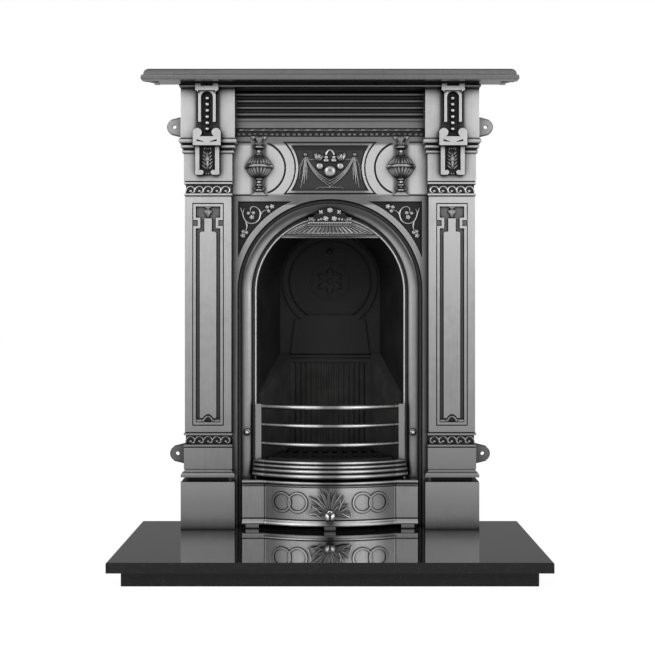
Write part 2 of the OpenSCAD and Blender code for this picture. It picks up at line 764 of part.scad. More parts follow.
// The urn's belly: a convex fall from the sharp brim to the necks
function urn_side(i) = [urn_r * cos(18 * abs(i)), sign(i) * urn_r * 0.86 * sin(18 * abs(i)) * (0.35 + 0.14 * abs(i))];

module urn() translate([urn_x, -plate_p, urn_z]) rotate([0, 0, 180])
    rotate_extrude(angle = 180) polygon(urn_profile);

module urn_left() color(iron) set_on_origin() on_left() urn();
module urn_right() color(iron) set_on_origin() urn();

// Hung cloth below a heap of fruit, between two buttons
button_x = ring_r;
button_z = bay_z + ring_r * 0.45;
swag_drop = ring_r * 1.11;
swag_r = arc_radius(button_x, swag_drop * 0.55);
swag_angle = asin(button_x / swag_r);
fruit_r = ring_r * 0.185;
// Each fruit's place and radius, counted in the radius of the largest
fruit_places = [[0, -0.1, 1], [1, 1.9, 0.8], [-1, 1.9, 0.8], [2.3, 0.5, 0.9], [-2.3, 0.5, 0.9], [3.9, 2, 0.7], [-3.9, 2, 0.7]];

// A half-round rope of cloth, flat against the plaque
module cloth_fold(drop, r) translate([0, -plaque_p, button_z - drop + swag_r])
    rotate([90, 0, 0]) rotate([0, 0, -90 - swag_angle])
        rotate_extrude(angle = 2 * swag_angle) translate([swag_r, 0]) polygon(arc(0, 0, r, 0, 180, 8));

module dome(x, z, r) translate([x, -plaque_p, z]) rotate([90, 0, 0])
    rotate_extrude() polygon(concat([[0, 0]], arc(0, 0, r, 0, 90, 6)));

module fruit_swag() color(bright_iron) set_on_origin() {
    for (fold = [0:2]) cloth_fold(swag_drop * (0.62 + 0.17 * fold), 4.5);
    both_sides() dome(button_x, button_z + 7, 6.5);
    both_sides() forward(plaque_p, plaque_p + 6) polygon([
        [button_x - 2, button_z + 4], [button_x + 4, button_z + 4],
        [button_x + 9, button_z - fruit_r * 5], [button_x - 3, button_z - fruit_r * 5.6]
    ]);
    for (q = fruit_places) dome(q[0] * fruit_r, bay_z + q[1] * fruit_r, q[2] * fruit_r);
}

// ---------------------------------------------------------------- bed moulding and shelf

module bed_mould() color(iron) set_on_origin() difference() {
    union() {
        upward(z_bed, z_top - shelf_t) rect(-bed_half_w, 0, bed_half_w, bed_p);
        // bead under the shelf, mitred round the corners
        intersection() {
            along_x(-bed_half_w - 20, bed_half_w + 20)
                polygon(concat([[0, z_bed]], roll(bead_p - bed_h / 2, z_bed, z_shelf_lip), [[0, z_shelf_lip]]));
            forward(0, bead_p + 1) polygon(concat(
                [for (q = roll(bed_half_w - 2, z_bed, z_shelf_lip)) q],
                [for (q = roll(bed_half_w - 2, z_bed, z_shelf_lip)) [-q[0], 2 * z_bed + bed_h - q[1]]]
            ));
        }
    }
    upward(z_bed + wall, z_top) rect(-bed_half_w + wall, -1, bed_half_w - wall, bed_p - plate_t);
    both_sides() for (q = screw_places) translate([q[0], -q[1], z_bed - 1]) cylinder(r = 4.2, h = wall + 2);
}

screw_places = [[shaft_mid, 40], [urn_x * 0.6, 30]];
shelf_half = shelf_w / 2;

// Section of the shelf's edge from the lip up: nose, quirk and ovolo, as setback and height
shelf_edge = concat(
    [[1.5, 0]],
    arc(4, 4, 4, -150, -215, 5),
    [[1.2, shelf_h - 15.8], [5, shelf_h - 15.2]],
    arc(19, shelf_h - 14, 14, 180, 98, 6),
    [[20, shelf_h]]
);

shelf_front = [for (q = shelf_edge) [shelf_p - q[0], z_shelf_lip + q[1]]];
shelf_end = [for (q = shelf_edge) [shelf_half - q[0], z_shelf_lip + q[1]]];
lip_t = 12;

module mantel_shelf() color(iron) set_on_origin() {
    difference() {
        intersection() {
            along_x(-shelf_half - 1, shelf_half + 1)
                polygon(concat([[0, z_shelf_lip]], shelf_front, [[0, z_top]]));
            forward(0, shelf_p + 1) polygon(concat(
                shelf_end, [for (i = [len(shelf_end) - 1:-1:0]) [-shelf_end[i][0], shelf_end[i][1]]]
            ));
        }
        upward(z_shelf_lip - 1, z_top - shelf_t)
            rect(-shelf_half + lip_t + 6, -1, shelf_half - lip_t - 6, shelf_p - lip_t - 6);
        // the end lips rise towards the wall
        along_x(-shelf_half - 1, shelf_half + 1)
            polygon([[-1, z_shelf_lip - 1], [-1, z_top - shelf_t - 1], [20, z_top - shelf_t - 1],
                [shelf_p - lip_t - 6, z_shelf_lip], [shelf_p - lip_t - 6, z_shelf_lip - 1]]);
    }
    both_sides() for (q = screw_places) translate([q[0], -q[1], z_bed + wall]) difference() {
        cylinder(r = 11, h = z_top - shelf_t - z_bed - wall + 1);
        translate([0, 0, -1]) cylinder(r = 4.2, h = 15);
    }
}

// Screws up through the bed moulding into the shelf's bosses
module shelf_screws() color(steel) set_on_origin() both_sides() for (q = screw_places)
    translate([q[0], -q[1], z_bed]) {
        cylinder(r = 4, h = wall + 12);
        translate([0, 0, -5.5]) hex(7.5, 5.5);
    }

// ---------------------------------------------------------------- hood

z_hood = z_spring + hood_rise;
hood_half_w = sqrt(pow(opening_r - seat_gap, 2) - pow(hood_rise, 2));
hood_back_p = reveal_back_p + 3;
hood_flutes = 13;
crest_r = 45;
hood_top_z = z_spring + opening_r + 23;

// Front outline of the canopy: wide skirt, slanted shoulders, scalloped crest
module hood_front() {
    polygon([[-hood_half_w + 2, z_hood], [hood_half_w - 2, z_hood], [hood_half_w - 4, z_hood + 6],
        [crest_r, z_hood + 44], [-crest_r, z_hood + 44], [-hood_half_w + 4, z_hood + 6]]);
    intersection() {
        union() for (a = [30:24:150]) translate([36 * cos(a), hood_top_z - 31 + 20 * sin(a)]) circle(r = 11);
        rect(-crest_r - 10, z_hood + 30, crest_r + 10, hood_top_z + 1);
    }
    rect(-30, z_hood + 40, 30, hood_top_z - 14);
}

module hood() color(bright_iron) set_on_origin() {
    // plate that closes the head of the arch behind the canopy
    forward(hood_back_p, reveal_p) intersection() {
        translate([0, z_spring]) circle(r = opening_r - seat_gap, $fn = 128);
        rect(-opening_r, z_hood, opening_r, z_spring + opening_r);
    }
    difference() {
        intersection() {
            forward(reveal_p + 4, hood_p + 1) hood_front();
            along_x(-opening_r, opening_r) polygon([
                [reveal_p + 4, z_hood], [hood_p, z_hood], [hood_p, z_hood + 6], [hood_p - 6, z_hood + 9],
                [plate_p + 3, z_hood + 44], [plate_p + 6, z_hood + 50], [plate_p + 4, hood_top_z + 8],
                [reveal_p + 4, hood_top_z + 8]
            ]);
        }
        // hollow under the canopy
        along_x(-hood_half_w + 10, hood_half_w - 10) polygon([
            [reveal_p + 4, z_hood - 1], [hood_p - 5, z_hood - 1], [hood_p - 6, z_hood + 4],
            [plate_p - 4, z_hood + 38], [reveal_p + 4, z_hood + 40]
        ]);
        // nothing stands inside the arch's own mouldings
        rotate([90, 0, 0]) translate([0, z_spring, 0]) rotate_extrude(angle = 180, $fn = 128)
            polygon([[opening_r - seat_gap, 0], [reveal_r + 1, 0], [reveal_r + 1, plate_p + seat_gap],
                [roll_x, plate_p + seat_gap], [roll_x - roll_w - 1, roll_p - roll_fall + 3],
                [bead_x + bead_r + 1, reveal_p + 6.5], [opening_r - seat_gap, reveal_p + 6.5]]);
        // flutes fanning from the crest
        for (i = [0:hood_flutes - 1]) let (a = (i - (hood_flutes - 1) / 2) * 8.4)
            translate([0, -(hood_p + 3), z_hood + 9]) rotate([-52, 0, 0]) translate([a * 1.35, 0, 0])
                rotate([0, a * 0.9, 0]) cylinder(r1 = 4.2, r2 = 2.4, h = 26, $fn = 24);
    }
    // webs that join the canopy to the closing plate
    both_sides() along_x(34, 40) polygon([
        [reveal_p - 1, z_hood + 8], [reveal_p + 5, z_hood + 8], [plate_p + 3, z_hood + 30],
        [plate_p + 1, z_hood + 35], [reveal_p - 1, z_hood + 35]
    ]);
}

// ---------------------------------------------------------------- firebox

shell_steps = 28;

// Points of one section of the firebox, from the right foot over the arch to the left foot
function shell_section(w, zc, y) = concat(
    [[w, y, z_hearth]],
    [for (i = [0:shell_steps]) let (a = 180 * i / shell_steps) [w * cos(a), y, zc + w * sin(a)]],
    [[-w, y, z_hearth]]
);

shell_rings = [
    shell_section(opening_r + wall, z_spring, firebox_front_y),
    shell_section(back_half_w + wall, z_flue, fireback_y),
    shell_section(back_half_w, z_flue, fireback_y),
    shell_section(opening_r, z_spring, firebox_front_y)
];

// Splayed walls and crown of the firebox, between the front plate and the fireback
module splayed_walls() {
    m = len(shell_rings[0]);
    points = [for (ring = shell_rings) for (q = ring) q];
    sides = [for (k = [0:3]) for (i = [0:m - 2]) let (a = k * m, b = (k + 1) % 4 * m)
        each [[a + i, b + i + 1, b + i], [a + i, a + i + 1, b + i + 1]]];
    ends = [[0, 2 * m, 3 * m], [0, m, 2 * m],
        [m - 1, 3 * m - 1, 2 * m - 1], [m - 1, 4 * m - 1, 3 * m - 1]];
    polyhedron(points, concat(sides, ends), convexity = 6);
}

firebox_bolt_r = opening_r + wall + 9;
firebox_bolt_angles = [20, 90, 160];
firebox_bolt_z = [z_hearth + 40, z_spring - 170];

module firebox_bolt_at(a) translate([firebox_bolt_r * cos(a), 0, z_spring + firebox_bolt_r * sin(a)]) children();

module firebox_shell() color(dark_iron) set_on_origin() {
    splayed_walls();
    // flange on the back of the arched plate
    difference() {
        forward(reveal_back_p - wall, reveal_back_p) difference() {
            arch_outline(opening_r + wall + 20, z_hearth);
            arch_outline(opening_r + 0.01, z_hearth - 1);
        }
        for (a = firebox_bolt_angles) firebox_bolt_at(a) peg(0, 0, 4.2, reveal_back_p - wall - 1, reveal_back_p + 1);
        both_sides() for (z = firebox_bolt_z)
            peg(firebox_bolt_r, z, 4.2, reveal_back_p - wall - 1, reveal_back_p + 1);
    }
}

module firebox_bolt() {
    peg(0, 0, 4, reveal_back_p - wall - 1, reveal_back_p + 6);
    translate([0, -(reveal_back_p - wall - 5.5), 0]) rotate([90, 0, 0]) hex(7.5, 5.5);
}

module firebox_bolts() color(steel) set_on_origin() {
    for (a = firebox_bolt_angles) firebox_bolt_at(a) firebox_bolt();
    both_sides() for (z = firebox_bolt_z) translate([firebox_bolt_r, 0, z]) firebox_bolt();
}

// Inner face of the splayed walls, as half width at a distance behind the wall
function wall_x(y) = opening_r + (back_half_w - opening_r) * (y - firebox_front_y) / (fireback_y - firebox_front_y);

brick_top = z_grate + brick_h;
ledge_h = 20;
hinge_chord = hinge_z + ear_r + 0.5;
ear_x = 66;
ear_w = 10;

module hinge_ear(x) translate([x - ear_w / 2, 0, 0]) difference() {
    union() {
        translate([0, hinge_y, hinge_z]) rotate([0, 90, 0]) cylinder(r = ear_r, h = ear_w);
        translate([0, fireback_y + fireback_t - 1, hinge_z - ear_r]) cube([ear_w, ear_r + 2, 2 * ear_r - 2]);
    }
    translate([-1, hinge_y, hinge_z]) rotate([0, 90, 0]) cylinder(r = pin_r + pin_play, h = ear_w + 2);
}

module flue_outline(r) intersection() {
    translate([0, z_flue]) circle(r = r, $fn = 128);
    rect(-r, hinge_chord, r, z_flue + r);
}

module fireback() color(dark_iron) set_on_origin() {
    difference() {
        union() {
            forward(-fireback_y - fireback_t, -fireback_y) arch_outline(back_half_w + wall + 12, z_hearth, z_flue);
            // keyhole-shaped raised surround of the flue opening
            forward(-fireback_y - 1, -fireback_y + 6) {
                translate([0, z_flue]) circle(r = flue_r + 12, $fn = 128);
                polygon([[-brick_half_w, brick_top], [brick_half_w, brick_top],
                    [flue_r * 0.82, hinge_z], [-flue_r * 0.82, hinge_z]]);
            }
            // ledge over the back brick
            along_x(-brick_half_w, brick_half_w) polygon([
                [-fireback_y - 1, brick_top], [-fireback_y + brick_t, brick_top],
                [-fireback_y + brick_t, brick_top + ledge_h * 0.4], [-fireback_y + brick_t - 4, brick_top + ledge_h * 0.6],
                [-fireback_y + brick_t - 4, brick_top + ledge_h * 0.8], [-fireback_y + 6, brick_top + ledge_h],
                [-fireback_y - 1, brick_top + ledge_h]
            ]);
        }
        forward(-fireback_y - fireback_t - 1, -fireback_y + 10) flue_outline(flue_r);
    }
    for (side = [-1, 1]) hinge_ear(side * ear_x);
}

module hinge_pin() color(steel) set_on_origin() translate([-ear_x - ear_w / 2 - 4, hinge_y, hinge_z]) {
    rotate([0, 90, 0]) cylinder(r = pin_r, h = 2 * ear_x + ear_w + 8);
    rotate([0, 90, 0]) cylinder(r = pin_r + 2, h = 3);
}

// ---------------------------------------------------------------- flue door

door_y = fireback_y + fireback_t + seat_gap;
door_t = 5;
knuckle_x = 46;
knuckle_w = 18;
medallion_r = 46;

module register_door() color(dark_iron) set_on_origin() difference() {
    union() {
        forward(-door_y - door_t, -door_y) flue_outline(flue_r + 6);
        // disc and medallion that show through the opening
        forward(-door_y - 1, -door_y + 4) flue_outline(flue_r - 5);
        forward(-door_y + 3, -door_y + 6) difference() {
            translate([0, z_flue]) circle(r = medallion_r, $fn = 96);
            translate([0, z_flue]) circle(r = medallion_r - 4, $fn = 96);
        }
        forward(-door_y + 3, -door_y + 7) {
            translate([0, z_flue]) circle(r = 9);
            for (i = [0:7]) translate([0, z_flue]) rotate(i * 45) translate([20, 0]) circle(r = 7);
            rect(-4, z_flue - 40, 4, z_flue - 12);
        }
        for (side = [-1, 1]) translate([side * knuckle_x - knuckle_w / 2, 0, 0]) {
            translate([0, hinge_y, hinge_z]) rotate([0, 90, 0]) cylinder(r = ear_r - 1, h = knuckle_w);
            translate([0, door_y + 0.5, hinge_z]) cube([knuckle_w, hinge_y - door_y - 0.5, ear_r + 4]);
        }
    }
    translate([-ear_x, hinge_y, hinge_z]) rotate([0, 90, 0]) cylinder(r = pin_r + pin_play, h = 2 * ear_x);
    translate([0, 0, z_flue + 70]) peg(0, 0, 3.1, -door_y - 10, -door_y + 10);
}

// Small turned knob near the top of the flue door
module register_knob() color(bright_iron) set_on_origin() {
    peg(0, z_flue + 70, 3, -door_y - door_t - 2, -door_y + 6);
    translate([0, door_y - 4, z_flue + 70]) rotate([90, 0, 0]) rotate_extrude()
        polygon(concat([[0, 0], [6, 0], [4, 3], [3.5, 7]], arc(0, 13, 6.5, -55, 90, 10)));
}

// ---------------------------------------------------------------- fire bricks and grate

flute_pitch = 2 * brick_half_w / (brick_flutes + 1);

module back_brick() color(firebrick) set_on_origin() difference() {
    upward(z_grate, brick_top) rect(-brick_half_w, -fireback_y, brick_half_w, brick_t - fireback_y);
    for (i = [0:brick_flutes - 1])
        translate([(i - (brick_flutes - 1) / 2) * flute_pitch, fireback_y - brick_t - 1, z_grate - 1])
            cylinder(r = flute_pitch * 0.4, h = brick_h + 2, $fn = 32);
}

cheek_front_y = -20;
cheek_front_t = 11;
cheek_rise = 80;

// Inner face of the cheeks, as half width at a distance behind the wall
cheek_front_x = wall_x(cheek_front_y) - cheek_front_t;
function cheek_x(y) = cheek_front_x + (brick_half_w + seat_gap - cheek_front_x)
    * (y - cheek_front_y) / (fireback_y - brick_t - cheek_front_y);

// Cheek brick against the splayed wall, its top falling towards the front
module cheek() intersection() {
    upward(z_grate, brick_top + ledge_h) polygon([
        [wall_x(cheek_front_y) - seat_gap, -cheek_front_y],
        [wall_x(fireback_y - seat_gap) - seat_gap, -fireback_y + seat_gap],
        [brick_half_w + seat_gap, -fireback_y + seat_gap],
        [brick_half_w + seat_gap, -fireback_y + brick_t],
        [cheek_front_x, -cheek_front_y]
    ]);
    along_x(0, opening_r + 10) polygon([
        [-cheek_front_y, z_grate], [-cheek_front_y, brick_top + ledge_h - cheek_rise],
        [-fireback_y + 6, brick_top + ledge_h], [-fireback_y - 1, brick_top + ledge_h], [-fireback_y - 1, z_grate]
    ]);
}

module cheek_left() color(firebrick) set_on_origin() on_left() cheek();
module cheek_right() color(firebrick) set_on_origin() cheek();

carrier_t = 6;
carrier_front = reveal_p + 6;
carrier_lip = 22;
module carrier_plan(side_gap, lip) polygon([
    [-(opening_r - 1 - lip), carrier_front - lip * 0.5], [opening_r - 1 - lip, carrier_front - lip * 0.5],
    [opening_r - 1 - lip, -firebox_front_y], [wall_x(fireback_y) - side_gap - lip, -fireback_y + side_gap + lip],
    [-(wall_x(fireback_y) - side_gap - lip), -fireback_y + side_gap + lip], [-(opening_r - 1 - lip), -firebox_front_y]
]);

// Frame that carries grate and bricks, on two webs that stand on the pit's base
module grate_carrier() color(dark_iron) set_on_origin() {
    difference() {
        upward(z_grate - carrier_t, z_grate) carrier_plan(1, 0);
        upward(z_grate - carrier_t - 1, z_grate + 1) carrier_plan(1, carrier_lip + brick_t * 0.3);
    }
    both_sides() upward(z_hearth + wall, z_grate - carrier_t + 1) polygon([
        [wall_x(firebox_front_y + 10) - 1, -firebox_front_y - 10], [wall_x(fireback_y - 20) - 1, -fireback_y + 20],
        [wall_x(fireback_y - 20) - 9, -fireback_y + 20], [wall_x(firebox_front_y + 10) - 9, -firebox_front_y - 10]
    ]);
}

module ash_pit_base() color(dark_iron) set_on_origin() upward(z_hearth, z_hearth + wall) polygon([
    [-wall_x(firebox_front_y) + seat_gap, -firebox_front_y], [wall_x(firebox_front_y) - seat_gap, -firebox_front_y],
    [wall_x(fireback_y) - seat_gap, -fireback_y + seat_gap], [-wall_x(fireback_y) + seat_gap, -fireback_y + seat_gap]
]);

// ---------------------------------------------------------------- bowed fire bars

stile_w = 12;
stile_t = 14;
bars_p = reveal_p + 23;
stile_back_p = bars_p - stile_t;
bars_r = arc_radius(bars_half_w, bow);
bars_centre_p = bars_p + bow - bars_r;
bars_angle = asin(bars_half_w / bars_r);
bar_d = 9;
z_rail = z_grate - 28.5;
z_stile = z_grate - 10;

// Sweeps a (radius, z) section along the bars' bow
module bowed(radius_shift, over) translate([0, -bars_centre_p, 0]) rotate([0, 0, -90 - bars_angle - over])
    rotate_extrude(angle = 2 * (bars_angle + over), $fn = 160) translate([bars_r + radius_shift, 0]) children();

// Section of a bar: flat behind, round in front
module bar_section(z, h) polygon(concat([[-bar_d, z], [-h / 2, z]], arc(-h / 2, z + h / 2, h / 2, -90, 90, 8), [[-bar_d, z + h]]));

// Foot of each reed of the rail, in shares of the rail's height, and how far it stands out
rail_reeds = [[0, 0.285, 8], [0.285, 0.545, 5], [0.545, 0.78, 2.5], [0.78, 1, 0]];
rail_section = concat(
    [[-bar_d, 0]],
    [for (r = rail_reeds) let (h = rail_h * (r[1] - r[0]))
        for (q = roll(r[2] + 8 - h / 2, rail_h * r[0], rail_h * r[1] - 0.8)) q],
    [[-bar_d, rail_h - 0.8]]
);

module front_bars() color(bright_iron) set_on_origin() {
    bowed(0, 1) bar_section(z_stile + stile_h - top_bar_h, top_bar_h);
    for (i = [1:2]) bowed(0, 1) bar_section(z_stile + stile_h - bar_h - i * bar_pitch, bar_h);
    bowed(2, 2.5) translate([0, z_rail]) polygon(rail_section);
    both_sides() {
        upward(z_stile, z_stile + stile_h) rect(bars_half_w, stile_back_p, bars_half_w + stile_w, bars_p);
        // foot that hooks back over the carrier
        upward(z_grate + seat_gap, z_grate + 9) rect(bars_half_w, stile_back_p - 16, bars_half_w + 8, bars_p - 2);
    }
}

grate_front_r = bars_r - bar_d - 9;
grate_back_y = fireback_y - brick_t - 4;
grate_play = 4;
grate_side_x = min(bars_half_w, cheek_front_x) - 3 * grate_play;
grate_half = floor(grate_side_x / grate_pitch);

module grate_plan() {
    intersection() {
        polygon([
            [-cheek_x(grate_back_y) + grate_play, -grate_back_y], [cheek_x(grate_back_y) - grate_play, -grate_back_y],
            [grate_side_x, -cheek_front_y], [grate_side_x, hood_p + 60],
            [-grate_side_x, hood_p + 60], [-grate_side_x, -cheek_front_y]
        ]);
        union() {
            translate([0, bars_centre_p]) circle(r = grate_front_r, $fn = 160);
            rect(-opening_r, -fireback_y, opening_r, stile_back_p - 4);
        }
    }
}

module bottom_grate() color(dark_iron) set_on_origin() {
    intersection() {
        upward(z_grate + seat_gap, z_grate + grate_t) grate_plan();
        union() {
            for (i = [-grate_half:grate_half]) upward(z_grate, z_grate + grate_t + 1)
                rect(i * grate_pitch - 5, -fireback_y, i * grate_pitch + 5, hood_p + 60);
            for (y = [grate_back_y - 6, 20, -40]) upward(z_grate, z_grate + grate_t - 1)
                rect(-opening_r, -y - 6, opening_r, -y + 6);
            upward(z_grate, z_grate + grate_t + 1) translate([0, bars_centre_p]) difference() {
                circle(r = grate_front_r, $fn = 160);
                circle(r = grate_front_r - 9, $fn = 160);
                translate([-opening_r * 2, -opening_r * 4]) square([opening_r * 4, opening_r * 4 + stile_back_p - bars_centre_p - 20]);
            }
        }
    }
}

// ---------------------------------------------------------------- ash cover and pan

cover_bow_half = cover_half_w - cover_end_w;
cover_r = arc_radius(cover_bow_half, cover_bow);
cover_centre_p = cover_p + cover_bow - cover_r;
cover_angle = asin(cover_bow_half / cover_r);
cover_t = 6;
z_cover = z_hearth + air_slot_h;
cover_face_h = cover_h - air_slot_h;

// Section of the cover: bottom moulding, face and rounded top lip
cover_top_roll = 8.5;
cover_edge = concat(
    [[1.5, 0], [4.5, 1.5], [5, 4], [3.5, 7], [1.5, 9.8], [1, 12.2], [-1.2, 12.6], [-1.2, 14.6], [0, 15]],
    [[0, cover_face_h - cover_top_roll - 6], [-2, cover_face_h - cover_top_roll - 4.5], [-2, cover_face_h - cover_top_roll]],
    roll(0.5, cover_face_h - cover_top_roll, cover_face_h)
);
cover_section = concat([[-cover_t, 0]], cover_edge, [[-cover_t, cover_face_h]]);

module cover_arc() translate([0, -cover_centre_p, z_cover]) rotate([0, 0, -90 - cover_angle])
    rotate_extrude(angle = 2 * cover_angle, $fn = 200) translate([cover_r, 0]) polygon(cover_section);

// Flat end of the cover, a little prouder than the bowed face that runs into it
post_step = 2.5;
post_x = cover_bow_half - 2;
module cover_post() along_x(post_x, cover_half_w) translate([cover_p + post_step, z_cover])
    polygon(concat([[-cover_t - post_step - 1, 0]], cover_edge, [[-cover_t - post_step - 1, cover_face_h]]));

// Place and radius of the two interlocked rings
cover_rings = [[69.5, 22], [103.5, 21.5]];
ring_w = 3.6;
ring_relief = 2.2;
cover_knob_z = z_cover + 29;
cover_knob_r = 3;

module ash_cover() color(iron) set_on_origin() difference() {
    union() {
        cover_arc();
        both_sides() cover_post();
        // returns that reach back to the arched plate
        both_sides() upward(z_cover, z_cover + cover_face_h)
            rect(cover_half_w - wall, roll_p + seat_gap, cover_half_w, cover_p - 2);
        // feet, with the air slots between them
        both_sides() upward(z_hearth, z_cover + 1)
            rect(cover_half_w - 36, cover_p - cover_t, cover_half_w - 8, cover_p + post_step + 4);
        upward(z_hearth, z_cover + 3)
            rect(-12, cover_p + cover_bow - cover_t + 0.5, 12, cover_p + cover_bow + 4);
        // two interlocked rings each side
        both_sides() for (ring = cover_rings) let (a = asin(ring[0] / cover_r))
            translate([ring[0], -(cover_centre_p + cover_r * cos(a)), z_cover + cover_face_h * 0.527])
                rotate([90, 0, a]) translate([0, 0, -cover_t / 2]) difference() {
                    cylinder(r = ring[1], h = cover_t / 2 + ring_relief);
                    translate([0, 0, -1]) cylinder(r = ring[1] - ring_w, h = cover_t + ring_relief);
                }
    }
    peg(0, cover_knob_z, cover_knob_r + 0.1, cover_p, cover_p + cover_bow + 10);
}

// Knob that lifts the cover away
module ash_cover_knob() color(bright_iron) set_on_origin() {
    face_p = cover_p + cover_bow;
    peg(0, cover_knob_z, cover_knob_r, face_p - cover_t - 2, face_p + 3);
    translate([0, -face_p, cover_knob_z]) rotate([90, 0, 0]) rotate_extrude()
        polygon(concat([[0, 0], [7, 0], [5, 3], [4, 6]], arc(0, 13, 9, -60, 90, 12)));
}

pan_front_p = plate_p - 5;
pan_back_y = 112;

module ash_pan() color(steel) set_on_origin() difference() {
    union() {
        upward(z_hearth + wall + seat_gap, z_hearth + wall + pan_h) rect(-pan_half_w, -pan_back_y, pan_half_w, pan_front_p);
        // rolled rim
        upward(z_hearth + wall + pan_h - 4, z_hearth + wall + pan_h)
            rect(-pan_half_w - 3, -pan_back_y - 3, pan_half_w + 3, pan_front_p + 3);
        // folded pull on the front
        along_x(-30, 30) polygon([[pan_front_p - 1, z_hearth + wall + pan_h * 0.5], [pan_front_p + 8, z_hearth + wall + pan_h * 0.5],
            [pan_front_p + 8, z_hearth + wall + pan_h * 0.5 + 10], [pan_front_p + 6, z_hearth + wall + pan_h * 0.5 + 10],
            [pan_front_p + 6, z_hearth + wall + pan_h * 0.5 + 2], [pan_front_p - 1, z_hearth + wall + pan_h * 0.5 + 2]]);
    }
    upward(z_hearth + wall + seat_gap + pan_wall, z_hearth + wall + pan_h + 1)
        rect(-pan_half_w + pan_wall, -pan_back_y + pan_wall, pan_half_w - pan_wall, pan_front_p - pan_wall);
}

// ---------------------------------------------------------------- nodes

hearth_slab();
hearth_riser_front();
hearth_riser_back();
hearth_riser_left();
hearth_riser_right();
plinth_left();
plinth_right();
jamb_left();
jamb_right();
corbel_left();
corbel_right();
corbel_bolts();
arch_plate();
frieze_panel();
urn_left();
urn_right();
fruit_swag();
bed_mould();
mantel_shelf();
shelf_screws();
frame_bolts();
hood();
firebox_shell();
firebox_bolts();
fireback();
back_brick();
cheek_left();
cheek_right();
grate_carrier();
ash_pit_base();
bar_knobs();
hinge_pin();
register_door();
register_knob();
front_bars();
bottom_grate();
ash_cover();
ash_cover_knob();
ash_pan();
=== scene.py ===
"""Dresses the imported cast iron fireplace: finishes, cast ornament, hearth stone, camera and light."""

import math

import bmesh
import bpy
from mathutils import Matrix, Vector


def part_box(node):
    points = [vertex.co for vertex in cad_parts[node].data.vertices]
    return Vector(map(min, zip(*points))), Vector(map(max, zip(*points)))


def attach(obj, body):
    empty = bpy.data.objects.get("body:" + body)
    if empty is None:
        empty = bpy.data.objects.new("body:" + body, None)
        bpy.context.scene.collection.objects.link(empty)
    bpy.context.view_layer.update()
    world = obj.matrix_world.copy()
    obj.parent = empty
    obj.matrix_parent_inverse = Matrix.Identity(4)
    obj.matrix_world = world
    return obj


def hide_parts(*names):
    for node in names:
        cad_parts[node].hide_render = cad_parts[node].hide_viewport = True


bl_info = {
    "name": "Cast Iron Fireplace",
    "version": (1, 0, 0),
    "blender": (4, 5, 0),
    "location": "View3D > Sidebar > Fireplace",
    "description": "Finishes and cast ornament for a cast iron combination fireplace",
    "category": "Object",
}

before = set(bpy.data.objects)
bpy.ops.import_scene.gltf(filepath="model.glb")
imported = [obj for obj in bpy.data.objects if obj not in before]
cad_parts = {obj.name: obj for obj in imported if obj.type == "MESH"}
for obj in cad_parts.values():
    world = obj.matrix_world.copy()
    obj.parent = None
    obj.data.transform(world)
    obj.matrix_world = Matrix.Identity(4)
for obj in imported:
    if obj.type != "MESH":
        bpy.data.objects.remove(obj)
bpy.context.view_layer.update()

MM = 0.001
SIDES = {"left": -1, "right": 1}


def middle_of(node, axis):
    """The middle of a node's box along an axis, in millimetres."""
    low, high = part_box(node)
    return (low[axis] + high[axis]) / 2 / MM


# Places taken from the frame, in millimetres: the wall, the frieze's top, the middles of shaft and urn
WALL_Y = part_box("hearth_slab")[1].y / MM
BED_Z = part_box("frieze_panel")[1].z / MM
SHAFT_X = middle_of("corbel_right", 0)
URN_X = middle_of("urn_right", 0)

# How proud of the wall the castings' faces stand, and the height of the arch's middle
PLATE_P = 61
SHAFT_P = 90
FILLET_P = 92
BLOCK_P = 98
ARCH_Z = 562


def at(x, proud, z):
    """A place from the wall in millimetres, as a point of the frame in metres."""
    return Vector((x * MM, (WALL_Y - proud) * MM, z * MM))


# ---------------------------------------------------------------- shader maths


class Socket:
    """An output of a node; arithmetic on it adds Math nodes."""

    def __init__(self, nodes, output):
        self.nodes = nodes
        self.output = output

    def maths(self, operation, *others, clamp=False):
        settings = {"operation": operation, "use_clamp": clamp}
        return self.nodes.add("ShaderNodeMath", settings, dict(enumerate((self,) + others)))

    def __add__(self, other):
        return self.maths("ADD", other)

    def __sub__(self, other):
        return self.maths("SUBTRACT", other)

    def __mul__(self, other):
        return self.maths("MULTIPLY", other)

    def __truediv__(self, other):
        return self.maths("DIVIDE", other)

    def __rsub__(self, other):
        return self.nodes.add("ShaderNodeMath", {"operation": "SUBTRACT"}, {0: other, 1: self})

    def __pow__(self, other):
        return self.maths("POWER", other)

    def __abs__(self):
        return self.maths("ABSOLUTE")

    __radd__ = __add__
    __rmul__ = __mul__

    def over(self, low, high, unit=1):
        """0 below low, 1 above high, smooth between; with MM as the unit, both are millimetres."""
        sockets = {"Value": self, "From Min": low * unit, "From Max": high * unit}
        return self.nodes.add("ShaderNodeMapRange", {"interpolation_type": "SMOOTHSTEP"}, sockets)

    def within(self, start, full, waning, end):
        """1 between full and waning, 0 before start and after end, all in millimetres."""
        return self.over(start, full, MM) * (1 - self.over(waning, end, MM))

    def clipped(self):
        return self.maths("ADD", 0.0, clamp=True)


